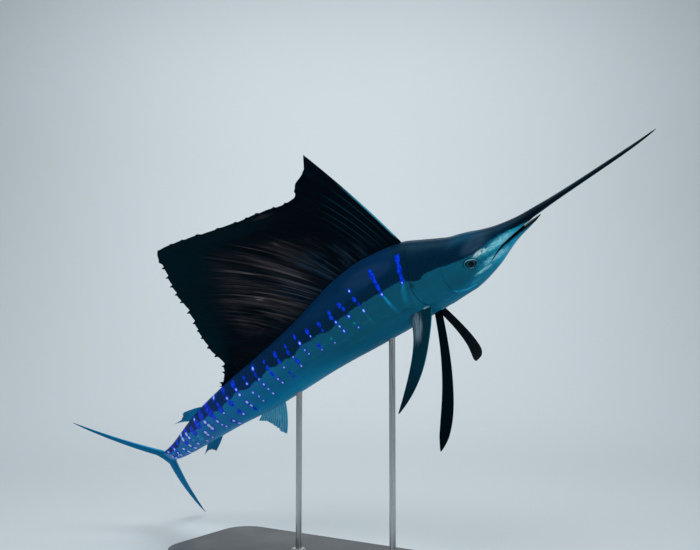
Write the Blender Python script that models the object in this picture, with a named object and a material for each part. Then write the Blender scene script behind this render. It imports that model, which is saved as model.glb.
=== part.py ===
"""A life-size sailfish, swimming and banking with its sail raised, held by a display stand.

Lengths are in metres. Along the fish, every place is a distance back from the tip of the bill.
At each such distance the fish has its own forward, up and right directions, which bend with it.
"""
import math

import bmesh
import bpy
from mathutils import Vector

GAP = 0.0003

# How the fish lies: distance back from the bill tip, then degrees. Yaw turns the nose towards
# the front, pitch raises it, roll leans the back over to the front.
POSE = [
    (0.00, 24.0, 33.5, 22.0),
    (0.12, 24.0, 31.0, 22.2),
    (0.60, 24.0, 30.5, 23.0),
    (0.72, 24.0, 29.0, 23.5),
    (0.84, 26.0, 26.5, 24.0),
    (1.02, 31.0, 27.0, 25.5),
    (1.32, 36.5, 29.5, 29.5),
    (1.58, 40.0, 28.5, 33.0),
    (1.77, 44.5, 28.0, 36.5),
    (2.02, 51.0, 28.0, 43.0),
    (2.16, 47.0, 24.0, 50.0),
    (2.60, 47.0, 24.0, 50.0),
]
EYE_STATION = 0.61
EYE_STATION_AT = Vector((0.40, -0.27, 1.01))
SPINE_STEP = 0.002

# The body's outline: distance back, height of the back, depth of the belly, half the width.
BODY = [
    (0.000, 0.0008, -0.0008, 0.0008),
    (0.020, 0.0017, -0.0034, 0.0025),
    (0.120, 0.0024, -0.0085, 0.0057),
    (0.250, 0.0029, -0.0113, 0.0085),
    (0.330, 0.0044, -0.0132, 0.0105),
    (0.389, 0.0074, -0.0250, 0.0131),
    (0.438, 0.0102, -0.0362, 0.0166),
    (0.480, 0.0163, -0.0462, 0.0211),
    (0.520, 0.0250, -0.0615, 0.0264),
    (0.560, 0.0385, -0.0790, 0.0320),
    (0.590, 0.0515, -0.0890, 0.0362),
    (0.620, 0.0625, -0.0975, 0.0400),
    (0.650, 0.0715, -0.1040, 0.0432),
    (0.680, 0.0860, -0.1070, 0.0458),
    (0.730, 0.1115, -0.1085, 0.0500),
    (0.780, 0.1340, -0.1092, 0.0545),
    (0.850, 0.1465, -0.1110, 0.0580),
    (0.940, 0.1530, -0.1140, 0.0600),
    (1.040, 0.1440, -0.1130, 0.0595),
    (1.140, 0.1240, -0.1090, 0.0575),
    (1.240, 0.1050, -0.1050, 0.0550),
    (1.360, 0.0920, -0.1020, 0.0520),
    (1.480, 0.0850, -0.0980, 0.0480),
    (1.600, 0.0790, -0.0880, 0.0430),
    (1.700, 0.0730, -0.0770, 0.0390),
    (1.800, 0.0650, -0.0690, 0.0340),
    (1.900, 0.0540, -0.0600, 0.0285),
    (2.000, 0.0420, -0.0490, 0.0230),
    (2.080, 0.0330, -0.0390, 0.0185),
    (2.130, 0.0290, -0.0330, 0.0140),
    (2.160, 0.0280, -0.0300, 0.0070),
]
BACK_ROUNDNESS = 1.9
BELLY_ROUNDNESS = 2.15

# The underside of the bill and the lip of the upper jaw, then how far the lower jaw hangs open.
MOUTH = [
    (0.000, -0.0008, 0.0000),
    (0.020, -0.0034, 0.0000),
    (0.120, -0.0085, 0.0000),
    (0.250, -0.0113, 0.0010),
    (0.330, -0.0132, 0.0025),
    (0.389, -0.0160, 0.0045),
    (0.426, -0.0172, 0.0060),
    (0.463, -0.0205, 0.0066),
    (0.521, -0.0290, 0.0056),
    (0.555, -0.0395, 0.0040),
    (0.587, -0.0550, 0.0020),
    (0.605, -0.0650, 0.0010),
    (0.700, -0.0500, 0.0010),
    (0.900, -0.0300, 0.0010),
    (2.200, -0.0050, 0.0010),
]
JAW_TIP = 0.389
JAW_CORNER = 0.605
JAW_POINT_LENGTH = 0.045
BILL_ROUND_UNTIL = 0.36
BILL_FLAT_FROM = 0.43

# Where the lengths of the body part.
BILL_END = 0.470
GILL_STATION = 0.800
TRUNK_MIDDLE = 1.200
TRUNK_END = 1.650
STOCK_END = 2.160

# The rear edge of the gill cover: height as a share of the half depth, and distance back.
GILL_EDGE = [
    (-1.00, -0.050),
    (-0.80, -0.012),
    (-0.60, 0.012),
    (-0.40, 0.023),
    (-0.15, 0.024),
    (0.10, 0.014),
    (0.35, 0.000),
    (0.60, -0.010),
    (1.00, -0.016),
]
GILL_BLEND = 0.11
GILL_GAP = 0.0005
GILL_LIFT = 0.0028
GILL_LIFT_LENGTH = 0.075

RING_UPPER = 18
RING_LOWER = 10
BILL_UPPER = 10
BILL_LOWER = 6

EYE_UP = -0.025
EYE_BACK = 0.635
EYE_RADIUS = 0.0210
EYE_DEPTH_RADIUS = 0.0160
EYE_SUNK = 0.0108
ORBIT_RADIUS = 0.0250
ORBIT_DEPTH = 0.0050
ORBIT_SUNK = 0.0006
SOCKET_GAP = 0.0004

GROOVE_RADIUS = 0.0019
CHEEK_GROOVE = [
    (0.700, 0.030),
    (0.722, 0.004),
    (0.731, -0.027),
    (0.729, -0.056),
    (0.716, -0.076),
    (0.690, -0.088),
    (0.660, -0.090),
]
LIP_GROOVE = [
    (0.606, -0.0665),
    (0.628, -0.070),
    (0.652, -0.075),
    (0.672, -0.081),
]
NOSTRILS = [(0.574, -0.010, 0.0040), (0.588, -0.012, 0.0034)]

# Rays of the sail: foot on the back, degrees that it leans back there, and its tip.
SAIL = [
    (0.787, 14.0, 0.895, 0.520),
    (0.808, 15.5, 0.922, 0.480),
    (0.832, 17.0, 0.965, 0.463),
    (0.860, 18.5, 0.990, 0.431),
    (0.888, 19.5, 1.026, 0.433),
    (0.930, 21.0, 1.083, 0.451),
    (0.980, 24.0, 1.196, 0.482),
    (1.030, 31.0, 1.360, 0.546),
    (1.070, 37.0, 1.465, 0.575),
    (1.100, 41.0, 1.507, 0.505),
    (1.180, 45.0, 1.537, 0.415),
    (1.320, 47.0, 1.567, 0.297),
    (1.420, 51.0, 1.585, 0.194),
    (1.500, 49.0, 1.590, 0.153),
    (1.580, 45.0, 1.613, 0.116),
    (1.655, 25.0, 1.659, 0.087),
]
SAIL_RAYS = 40
SAIL_ROWS = 11
SAIL_RAY_THICK = 0.0044
SAIL_WEB_THICK = 0.0016
SAIL_NOTCH = 0.030
SAIL_BELLY = 0.030
SAIL_FLUTTER = 0.006

SAIL_EDGE_THICK = 0.0062
SAIL_WAVES = 3.2

FIN_TIP_THICK = 0.0008
ROOT_SUNK = 0.005
FIN_WEB_SHARE = 0.5
FIN_WEB_LENGTH = 0.93

# Rays of the small middle fins: foot on the body, then the distance back and height of the tip.
SECOND_DORSAL = [
    (1.800, 1.900, 0.094),
    (1.830, 1.912, 0.084),
    (1.870, 1.940, 0.078),
    (1.905, 1.985, 0.086),
]
FIRST_ANAL = [
    (1.484, 1.582, -0.199),
    (1.500, 1.590, -0.186),
    (1.530, 1.598, -0.152),
    (1.570, 1.610, -0.122),
    (1.606, 1.640, -0.100),
]
SECOND_ANAL = [
    (1.830, 1.930, -0.098),
    (1.860, 1.940, -0.086),
    (1.900, 1.965, -0.078),
    (1.935, 2.010, -0.082),
]
SECOND_FIN_RAYS = 6
SECOND_FIN_ROWS = 5
SECOND_FIN_THICK = 0.0030
FIRST_ANAL_RAYS = 8
FIRST_ANAL_ROWS = 6
FIRST_ANAL_THICK = 0.0034

# The paired fins: root, then the start, bend and tip of a blade and two chords, each as steps
# forward, up and right from the root.
PECTORAL_ROOT = (0.838, -0.068)
PECTORAL_ROOT_SUNK = 0.012
PECTORAL_WIDTHS = [(0.0, 0.074), (0.12, 0.064), (0.35, 0.050), (0.6, 0.044), (0.8, 0.032),
                   (0.93, 0.016), (1.0, 0.004)]
PECTORAL_RIGHT_BLADE = [(0.0, 0.006, 0.0), (-0.040, -0.125, 0.100), (-0.170, -0.200, 0.200)]
PECTORAL_RIGHT_CHORD = [(1.0, -0.28, 0.0), (1.0, -0.1, 0.2)]
PECTORAL_LEFT_BLADE = [(0.0, 0.002, 0.0), (-0.095, -0.020, -0.110), (-0.290, -0.030, -0.090)]
PECTORAL_LEFT_CHORD = [(1.0, -0.28, 0.0), (0.35, -0.9, 0.0)]
PECTORAL_RAYS = 5
PECTORAL_ROWS = 14
PECTORAL_THICK = 0.0050
PELVIC_ROOT = (0.802, -0.098)
PELVIC_ROOT_SIDE = 0.012
PELVIC_WIDTHS = [(0.0, 0.024), (0.2, 0.027), (0.45, 0.033), (0.7, 0.038), (0.85, 0.032),
                 (0.95, 0.016), (1.0, 0.003)]
PELVIC_RIGHT_BLADE = [(0.0, 0.0, 0.0), (-0.055, -0.225, 0.145), (-0.155, -0.320, 0.245)]
PELVIC_RIGHT_CHORD = [(1.0, -0.1, 0.0), (1.0, -0.3, 0.0)]
PELVIC_LEFT_BLADE = [(0.0, 0.0, 0.0), (-0.010, -0.250, -0.210), (-0.085, -0.310, -0.310)]
PELVIC_LEFT_CHORD = [(1.0, -0.1, 0.0), (1.0, 0.1, 0.0)]
PELVIC_RAYS = 3
PELVIC_ROWS = 16
PELVIC_THICK = 0.0044

# The tail fin: share of a lobe's span, then how far back its front and rear edges are.
TAIL_SPAN_UP = 0.350
TAIL_SPAN_DOWN = -0.315
TAIL_SHARES = [0.0, 0.04, 0.08, 0.13, 0.19, 0.27, 0.36, 0.46, 0.56, 0.66, 0.76, 0.86, 0.94, 1.0]
TAIL_EDGE = [
    (0.00, 0.0000, 0.0440),
    (0.08, 0.0006, 0.0470),
    (0.16, 0.0200, 0.0640),
    (0.30, 0.0560, 0.0960),
    (0.50, 0.1060, 0.1370),
    (0.70, 0.1520, 0.1740),
    (0.88, 0.1920, 0.2040),
    (1.00, 0.2180, 0.2205),
]
TAIL_RAYS = 6
TAIL_LAG = -0.010
TAIL_EDGE_THICK = 0.0105
TAIL_RAY_THICK = 0.0050
TAIL_WEB_THICK = 0.0026

KEEL_START = 2.050
KEEL_LENGTH = 0.100
KEEL_HEIGHTS = (0.010, -0.012)
KEEL_STEPS = 6
KEEL_HIGH = 0.0085
KEEL_HALF_THICK = 0.0030

STAND_THICK = 0.030
STAND_LENGTH = 1.20
STAND_WIDTH = 0.46
STAND_CORNER = 0.10
STAND_BEVEL = 0.006
STAND_TURN = -32.0
ROD_RADIUS = 0.010
ROD_COLLAR_RADIUS = 0.024
ROD_COLLAR_HEIGHT = 0.014
ROD_SIDES = 20
ROD_STATIONS = {"front": 0.985, "rear": 1.400}
ROD_ROOT_SUNK = 0.020
BELLY_SEARCH = 1.2


def clear_scene():
    for item in list(bpy.data.objects):
        bpy.data.objects.remove(item, do_unlink=True)


def smooth_curve(table, column):
    """A curve through one column of a table that never overshoots between its rows."""
    x = [row[0] for row in table]
    y = [row[column] for row in table]
    step = [x[i + 1] - x[i] for i in range(len(x) - 1)]
    slope = [(y[i + 1] - y[i]) / step[i] for i in range(len(x) - 1)]
    tangent = [slope[0]]
    for i in range(1, len(x) - 1):
        if slope[i - 1] * slope[i] <= 0.0:
            tangent.append(0.0)
        else:
            before = 2.0 * step[i] + step[i - 1]
            after = step[i] + 2.0 * step[i - 1]
            tangent.append((before + after) / (before / slope[i - 1] + after / slope[i]))
    tangent.append(slope[-1])

    def value(at):
        at = min(max(at, x[0]), x[-1])
        i = 0
        while i < len(step) - 1 and at > x[i + 1]:
            i += 1
        t = (at - x[i]) / step[i]
        cubic = tangent[i] + tangent[i + 1] - 2.0 * slope[i]
        square = 3.0 * slope[i] - 2.0 * tangent[i] - tangent[i + 1]
        return y[i] + t * step[i] * (tangent[i] + t * (square + cubic * t))

    return value


def ease(t):
    t = min(max(t, 0.0), 1.0)
    return t * t * (3.0 - 2.0 * t)


yaw_at = smooth_curve(POSE, 1)
pitch_at = smooth_curve(POSE, 2)
roll_at = smooth_curve(POSE, 3)
back_at = smooth_curve(BODY, 1)
belly_at = smooth_curve(BODY, 2)
width_at = smooth_curve(BODY, 3)
lip_at = smooth_curve(MOUTH, 1)
gape_at = smooth_curve(MOUTH, 2)
gill_edge_at = smooth_curve(GILL_EDGE, 1)


def directions(s):
    yaw = math.radians(yaw_at(s))
    pitch = math.radians(pitch_at(s))
    roll = math.radians(roll_at(s))
    flat = Vector((math.cos(yaw), -math.sin(yaw), 0.0))
    forward = flat * math.cos(pitch) + Vector((0.0, 0.0, math.sin(pitch)))
    level_up = Vector((0.0, 0.0, math.cos(pitch))) - flat * math.sin(pitch)
    level_right = Vector((-math.sin(yaw), -math.cos(yaw), 0.0))
    up = level_up * math.cos(roll) + level_right * math.sin(roll)
    right = level_right * math.cos(roll) - level_up * math.sin(roll)
    return forward, up, right


def make_spine():
    count = int(round(POSE[-1][0] / SPINE_STEP)) + 1
    forward = [directions(i * SPINE_STEP)[0] for i in range(count)]
    points = [Vector((0.0, 0.0, 0.0))]
    for i in range(1, count):
        points.append(points[-1] - (forward[i - 1] + forward[i]) * (SPINE_STEP / 2.0))
    shift = EYE_STATION_AT - points[int(round(EYE_STATION / SPINE_STEP))]
    return [point + shift for point in points]


SPINE = make_spine()


def place(s, up, right=0.0):
    """The point at this distance back, height and distance to the right of the middle plane."""
    i = min(max(int(s / SPINE_STEP), 0), len(SPINE) - 2)
    t = s / SPINE_STEP - i
    origin = SPINE[i].lerp(SPINE[i + 1], t)
    _, up_way, right_way = directions(s)
    return origin + up_way * up + right_way * right


def outline(s, angle, inflate=0.0):
    """Height and side distance on the skin, where the angle runs from the back round the right."""
    top, bottom, half = back_at(s), belly_at(s), width_at(s)
    middle, tall = (top + bottom) / 2.0, (top - bottom) / 2.0
    cosine, sine = math.cos(angle), math.sin(angle)
    power = BACK_ROUNDNESS if cosine > 0.0 else BELLY_ROUNDNESS
    up = math.copysign(abs(cosine) ** (2.0 / power), cosine)
    side = math.copysign(abs(sine) ** (2.0 / power), sine)
    if inflate:
        out = Vector((up / tall, side / half)).normalized() * inflate
        return middle + up * tall + out[0], side * half + out[1]
    return middle + up * tall, side * half


def lip_angle(s):
    top, bottom = back_at(s), belly_at(s)
    middle, tall = (top + bottom) / 2.0, (top - bottom) / 2.0
    share = (lip_at(s) - middle) / tall
    power = BACK_ROUNDNESS if share > 0.0 else BELLY_ROUNDNESS
    share = min(max(share, -0.98), 0.98)
    return math.acos(math.copysign(abs(share) ** (power / 2.0), share))


def flank_side(s, up):
    """How far the skin is from the middle plane at this height."""
    low, high = 0.0, math.pi
    for _ in range(40):
        angle = (low + high) / 2.0
        if outline(s, angle)[0] > up:
            low = angle
        else:
            high = angle
    return outline(s, low)[1]


def gill_lift(s, height):
    """How far the gill cover stands proud just ahead of its rear edge."""
    edge = GILL_STATION + gill_edge_at(height)
    ahead = (edge - s) / GILL_LIFT_LENGTH
    if ahead < -0.004 or ahead > 1.0:
        return 0.0
    fade = 1.0 - ease((abs(height + 0.05) - 0.55) / 0.40)
    return GILL_LIFT * (1.0 - ease(ahead)) * fade


def ring_angles(s, upper=RING_UPPER, lower=RING_LOWER):
    """Angles round the body: over the back from lip to lip, then under the belly."""
    lip = lip_angle(s)
    over = [-lip + 2.0 * lip * i / upper for i in range(upper)]
    under = [lip + (2.0 * math.pi - 2.0 * lip) * i / lower for i in range(lower)]
    return over + under


def body_ring(s, bent=False, covered=False, inflate=0.0):
    """A closed ring of points on the skin. A bent ring follows the gill cover's rear edge."""
    blend = 1.0 - ease(abs(s - GILL_STATION) / GILL_BLEND) if bent else 0.0
    points = []
    for angle in ring_angles(s):
        cosine = math.cos(angle)
        power = BACK_ROUNDNESS if cosine > 0.0 else BELLY_ROUNDNESS
        height = math.copysign(abs(cosine) ** (2.0 / power), cosine)
        here = s + blend * gill_edge_at(height)
        lift = gill_lift(here, height) if covered else 0.0
        up, side = outline(here, angle, inflate)
        points.append(place(here, up, side + math.copysign(lift, side)))
    return points


def snout_ring(s, upper=RING_UPPER, lower=RING_LOWER):
    """A ring round the bill or upper jaw: round far forward, flat under the lip nearer the eye."""
    lip = lip_at(s)
    top, half = back_at(s), width_at(s)
    middle, tall = (top + lip) / 2.0, (top - lip) / 2.0
    flatness = ease((s - BILL_ROUND_UNTIL) / (BILL_FLAT_FROM - BILL_ROUND_UNTIL))
    points = []
    angles = ring_angles(s, upper, lower)
    edge_up, edge_side = outline(s, angles[upper])
    for i, angle in enumerate(angles):
        if i <= upper:
            around = -math.pi / 2.0 + math.pi * i / upper
        else:
            around = math.pi / 2.0 + math.pi * (i - upper) / lower
        round_up = middle + tall * math.cos(around)
        round_side = half * math.sin(around)
        if i <= upper:
            flat_up, flat_side = outline(s, angle)
        else:
            flat_up = edge_up
            flat_side = edge_side * (1.0 - 2.0 * (i - upper) / lower)
        up = round_up + (flat_up - round_up) * flatness
        side = round_side + (flat_side - round_side) * flatness
        points.append(place(s, up, side))
    return points


def jaw_ring(s):
    """A ring round the lower jaw, which has the body's own outline under a flat top."""
    width = ease((s - JAW_TIP) / JAW_POINT_LENGTH) * 0.75 + 0.25
    roof = lip_at(s) - gape_at(s)
    lip = lip_angle(s)
    floor_shift = min(0.0, roof - 0.004 - belly_at(s))
    points = []
    for i in range(RING_LOWER + 1):
        angle = lip + (2.0 * math.pi - 2.0 * lip) * i / RING_LOWER
        up, side = outline(s, angle)
        points.append(place(s, min(up + floor_shift, roof), side * width))
    edge = outline(s, lip)[1] * width
    for share in (-0.5, 0.0, 0.5):
        points.append(place(s, roof - 0.0012, edge * share))
    return points


def add_rings(mesh, rings, closed_start="flat", closed_end="flat"):
    """Skin a row of rings, and close its two ends with a flat face, a ladder or a point."""
    rows = [[mesh.verts.new(point) for point in ring] for ring in rings]
    count = len(rows[0])
    for near, far in zip(rows, rows[1:]):
        for i in range(count):
            j = (i + 1) % count
            mesh.faces.new((near[i], near[j], far[j], far[i]))
    for row, kind, flip in ((rows[0], closed_start, True), (rows[-1], closed_end, False)):
        if kind == "ladder":
            half = RING_UPPER // 2
            right = [row[(half + i) % count] for i in range(count // 2 + 1)]
            left = [row[(half - i) % count] for i in range(count // 2 + 1)]
            for i in range(count // 2):
                corners = []
                for vert in (right[i], right[i + 1], left[i + 1], left[i]):
                    if vert not in corners:
                        corners.append(vert)
                mesh.faces.new(corners[::-1] if flip else corners)
        else:
            mesh.faces.new(row[::-1] if flip else row)
    return rows


def finish_mesh(name, mesh, material, merge=0.00002):
    bmesh.ops.remove_doubles(mesh, verts=mesh.verts, dist=merge)
    bmesh.ops.recalc_face_normals(mesh, faces=mesh.faces)
    data = bpy.data.meshes.new(name)
    mesh.to_mesh(data)
    mesh.free()
    for polygon in data.polygons:
        polygon.use_smooth = True
    item = bpy.data.objects.new(name, data)
    bpy.context.scene.collection.objects.link(item)
    if material:
        data.materials.append(material)
    return item


def make_material(name, colour, roughness, metallic=0.0):
    material = bpy.data.materials.new(name)
    material.use_nodes = True
    shader = material.node_tree.nodes["Principled BSDF"]
    shader.inputs["Base Color"].default_value = (*colour, 1.0)
    shader.inputs["Roughness"].default_value = roughness
    shader.inputs["Metallic"].default_value = metallic
    material.diffuse_color = (*colour, 1.0)
    return material


def apply_cut(item, cutter, operation="DIFFERENCE", solver="EXACT"):
    """Cut the item with a closed mesh, keep its largest closed surface, and drop the cutter."""
    cutter.hide_render = True
    cutter.display_type = "WIRE"
    cut = item.modifiers.new("cut", "BOOLEAN")
    cut.operation = operation
    cut.solver = solver
    cut.object = cutter
    graph = bpy.context.evaluated_depsgraph_get()
    made = bpy.data.meshes.new_from_object(item.evaluated_get(graph), depsgraph=graph)
    item.modifiers.clear()
    old = item.data
    item.data = made
    bpy.data.meshes.remove(old)
    made.name = item.name
    bpy.data.objects.remove(cutter, do_unlink=True)
    keep_largest(item)


def keep_largest(item):
    mesh = bmesh.new()
    mesh.from_mesh(item.data)
    bmesh.ops.triangulate(mesh, faces=mesh.faces)
    bmesh.ops.remove_doubles(mesh, verts=mesh.verts, dist=0.00001)
    unseen = set(mesh.verts)
    pieces = []
    while unseen:
        start = next(iter(unseen))
        unseen.discard(start)
        piece, todo = [start], [start]
        while todo:
            vert = todo.pop()
            for edge in vert.link_edges:
                other = edge.other_vert(vert)
                if other in unseen:
                    unseen.discard(other)
                    piece.append(other)
                    todo.append(other)
        pieces.append(piece)
    pieces.sort(key=len)
    for piece in pieces[:-1]:
        bmesh.ops.delete(mesh, geom=piece, context="VERTS")
    bmesh.ops.recalc_face_normals(mesh, faces=mesh.faces)
    mesh.to_mesh(item.data)
    mesh.free()
    for polygon in item.data.polygons:
        polygon.use_smooth = True


def stations(start, end, spacing):
    count = max(1, int(round((end - start) / spacing)))
    return [start + (end - start) * i / count for i in range(count + 1)]


def head_stations():
    return stations(JAW_CORNER, GILL_STATION, 0.0177)


def front_stations():
    return stations(GILL_STATION + GILL_GAP, TRUNK_MIDDLE, 0.028)


def rear_stations():
    return stations(TRUNK_MIDDLE + GAP, TRUNK_END, 0.040)


def stock_stations():
    return stations(TRUNK_END + GAP, 2.05, 0.044) + [2.08, 2.11, 2.135, STOCK_END]


def make_bill(material):
    mesh = bmesh.new()
    rows = [0.0, 0.006, 0.02, 0.05] + stations(0.09, 0.36, 0.054) + stations(0.390, BILL_END, 0.0267)
    add_rings(mesh, [snout_ring(s, BILL_UPPER, BILL_LOWER) for s in rows])
    return finish_mesh("bill", mesh, material)


def make_head(material):
    """The upper jaw runs back to the corner of the mouth, where the full head begins."""
    mesh = bmesh.new()
    rings = [snout_ring(s) for s in stations(BILL_END + GAP, JAW_CORNER, 0.0225)]
    rings += [body_ring(s, bent=True, covered=True) for s in head_stations()]
    add_rings(mesh, rings, closed_end="ladder")
    head = finish_mesh("head", mesh, material)
    for side in (1.0, -1.0):
        apply_cut(head, eye_ball("orbit", side, ORBIT_RADIUS, ORBIT_DEPTH, ORBIT_SUNK, None))
        apply_cut(head, eye_ball("socket", side, EYE_RADIUS + SOCKET_GAP,
                                 EYE_DEPTH_RADIUS + SOCKET_GAP, EYE_SUNK, None))
        apply_cut(head, groove("cheek_groove", CHEEK_GROOVE, side))
        apply_cut(head, groove("lip_groove", LIP_GROOVE, side))
        for s, up, radius in NOSTRILS:
            apply_cut(head, nostril(s, up, radius, side))
    return head


def make_lower_jaw(material):
    mesh = bmesh.new()
    add_rings(mesh, [jaw_ring(s) for s in [JAW_TIP, JAW_TIP + 0.006]
                     + stations(JAW_TIP + 0.018, JAW_CORNER - 2.0 * GAP, 0.018)])
    return finish_mesh("lower_jaw", mesh, material)


def skin_frame(s, up, side):
    """A point on the flank with its outward direction and the two directions along the skin."""
    reach = flank_side(s, up)
    here = place(s, up, side * reach)
    along = place(s - 0.002, up, side * flank_side(s - 0.002, up)) - here
    over = place(s, up + 0.002, side * flank_side(s, up + 0.002)) - here
    along.normalize()
    out = along.cross(over).normalized()
    if out.dot(directions(s)[2]) * side < 0.0:
        out = -out
    over = over - over.project(along)
    over.normalize()
    return here, out, along, over


def ellipsoid(name, centre, axes, radii, segments, rings, material):
    mesh = bmesh.new()
    bmesh.ops.create_uvsphere(mesh, u_segments=segments, v_segments=rings, radius=1.0)
    for vert in mesh.verts:
        x, y, z = vert.co
        vert.co = centre + axes[0] * x * radii[0] + axes[1] * y * radii[1] + axes[2] * z * radii[2]
    return finish_mesh(name, mesh, material)


def eye_ball(name, side, radius, depth_radius, sunk, material):
    here, out, along, over = skin_frame(EYE_BACK, EYE_UP, side)
    return ellipsoid(name, here - out * sunk, (along, over, out),
                     (radius, radius, depth_radius), 18, 10, material)


def nostril(s, up, radius, side):
    here, out, along, over = skin_frame(s, up, side)
    return ellipsoid("nostril", here, (along, over, out),
                     (radius, radius * 0.7, radius * 0.8), 10, 6, None)


def groove(name, points, side):
    """A thin round cord laid along the skin, for cutting a groove."""
    back = smooth_curve([(i, point[0]) for i, point in enumerate(points)], 1)
    high = smooth_curve([(i, point[1]) for i, point in enumerate(points)], 1)
    steps = 2 * (len(points) - 1)
    spots = []
    for i in range(steps + 1):
        t = i / 2.0
        here, out, _, _ = skin_frame(back(t), high(t), side)
        spots.append((here, out))
    mesh = bmesh.new()
    rings = []
    for i, (here, out) in enumerate(spots):
        before = spots[max(i - 1, 0)][0]
        after = spots[min(i + 1, steps)][0]
        way = (after - before).normalized()
        across = way.cross(out).normalized()
        size = GROOVE_RADIUS * (0.35 + 0.65 * math.sin(math.pi * (i + 0.5) / (steps + 1)))
        ring = []
        for k in range(5):
            turn = 2.0 * math.pi * k / 5.0
            ring.append(here + across * (size * math.cos(turn)) + out * (size * math.sin(turn)))
        rings.append(ring)
    add_rings(mesh, rings)
    return finish_mesh(name, mesh, None)


def make_trunk_front(material):
    mesh = bmesh.new()
    rings = [body_ring(s, bent=True) for s in front_stations()]
    add_rings(mesh, rings, closed_start="ladder")
    return finish_mesh("trunk_front", mesh, material)


def make_trunk_rear(material):
    mesh = bmesh.new()
    add_rings(mesh, [body_ring(s) for s in rear_stations()])
    return finish_mesh("trunk_rear", mesh, material)


def make_tail_stock(material):
    """The narrow length before the tail fin, with two low keels on each side."""
    mesh = bmesh.new()
    add_rings(mesh, [body_ring(s) for s in stock_stations()])
    stock = finish_mesh("tail_stock", mesh, material)
    for side in (1.0, -1.0):
        for up in KEEL_HEIGHTS:
            apply_cut(stock, tail_keel(up, side), operation="UNION")
    return stock


def tail_keel(up, side):
    mesh = bmesh.new()
    rings = []
    for i in range(KEEL_STEPS + 1):
        t = i / KEEL_STEPS
        s = KEEL_START + KEEL_LENGTH * t
        rise = up * (1.0 - 0.35 * t)
        reach = flank_side(s, rise - 0.001) * side
        high = 0.0005 + KEEL_HIGH * math.sin(math.pi * min(t * 1.08 + 0.01, 1.0)) ** 0.8
        rings.append([
            place(s, rise + KEEL_HALF_THICK, reach * 0.70),
            place(s, rise, reach + side * high),
            place(s, rise - KEEL_HALF_THICK, reach * 0.70),
            place(s, rise, reach * 0.45),
        ])
    add_rings(mesh, rings)
    return finish_mesh("keel", mesh, None)


def add_sheet(mesh, grid, normals, thickness):
    """A thin closed sheet over a grid of points, split into triangles alike on both faces."""
    rows, columns = len(grid), len(grid[0])
    front, back = [], []
    for i in range(rows):
        front.append([mesh.verts.new(grid[i][j] + normals[i][j] * (thickness[i][j] / 2.0))
                      for j in range(columns)])
        back.append([mesh.verts.new(grid[i][j] - normals[i][j] * (thickness[i][j] / 2.0))
                     for j in range(columns)])
    for i in range(rows - 1):
        for j in range(columns - 1):
            a, b, c, d = front[i][j], front[i][j + 1], front[i + 1][j + 1], front[i + 1][j]
            mesh.faces.new((a, b, c))
            mesh.faces.new((a, c, d))
            a, b, c, d = back[i][j], back[i][j + 1], back[i + 1][j + 1], back[i + 1][j]
            mesh.faces.new((a, c, b))
            mesh.faces.new((a, d, c))
    border = [(0, j) for j in range(columns)]
    border += [(i, columns - 1) for i in range(1, rows)]
    border += [(rows - 1, j) for j in range(columns - 2, -1, -1)]
    border += [(i, 0) for i in range(rows - 2, 0, -1)]
    for (i, j), (k, l) in zip(border, border[1:] + border[:1]):
        mesh.faces.new((front[k][l], front[i][j], back[i][j]))
        mesh.faces.new((front[k][l], back[i][j], back[k][l]))


def sheet_normals(grid):
    """Normals of a grid of points, from its neighbours."""
    rows, columns = len(grid), len(grid[0])
    normals = []
    for i in range(rows):
        line = []
        for j in range(columns):
            down = grid[min(i + 1, rows - 1)][j] - grid[max(i - 1, 0)][j]
            over = grid[i][min(j + 1, columns - 1)] - grid[i][max(j - 1, 0)]
            line.append(down.cross(over).normalized())
        normals.append(line)
    return normals


def sail_ray_at():
    """The foot, middle and tip of the sail's rays, for any place along its foot."""
    lean = smooth_curve(SAIL, 1)
    tip_back = smooth_curve(SAIL, 2)
    tip_up = smooth_curve(SAIL, 3)

    def point(foot, t):
        foot_up = back_at(foot)
        end_back, end_up = tip_back(foot), tip_up(foot)
        angle = math.radians(lean(foot))
        reach = 0.5 * math.hypot(end_back - foot, end_up - foot_up)
        mid_back = foot + reach * math.sin(angle)
        mid_up = foot_up + reach * math.cos(angle)
        s = (1 - t) ** 2 * foot + 2 * t * (1 - t) * mid_back + t * t * end_back
        up = (1 - t) ** 2 * foot_up + 2 * t * (1 - t) * mid_up + t * t * end_up
        return s, up

    return point


def make_sail(material):
    """Rays from the back, thickest at the foot, with a thin notched web between them."""
    point = sail_ray_at()
    first, last = SAIL[0][0], SAIL[-1][0]
    columns = 2 * SAIL_RAYS - 1
    grid, thickness = [], []
    for i in range(columns):
        share = i / (columns - 1)
        foot = first + (last - first) * share
        is_ray = i % 2 == 0
        length = 1.0 if is_ray else 1.0 - SAIL_NOTCH * (0.5 + 0.5 * math.sin(7.3 * i) ** 2)
        line, thick = [], []
        for k in range(SAIL_ROWS):
            t = length * k / (SAIL_ROWS - 1)
            s, up = point(foot, t)
            if k == 0:
                up -= ROOT_SUNK
            swell = -SAIL_BELLY * math.sin(math.pi * t) * math.sin(math.pi * share) ** 0.5
            flutter = SAIL_FLUTTER * t * t * math.sin(2.0 * math.pi * share * SAIL_WAVES)
            line.append(place(s, up, swell + flutter))
            full = SAIL_RAY_THICK if is_ray else SAIL_WEB_THICK
            if i == 0:
                full = SAIL_EDGE_THICK
            thick.append(full + (FIN_TIP_THICK - full) * t)
        grid.append(line)
        thickness.append(thick)
    mesh = bmesh.new()
    add_sheet(mesh, grid, sheet_normals(grid), thickness)
    sail = finish_mesh("sail", mesh, material)
    apply_cut(sail, body_cutter())
    return sail


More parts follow.
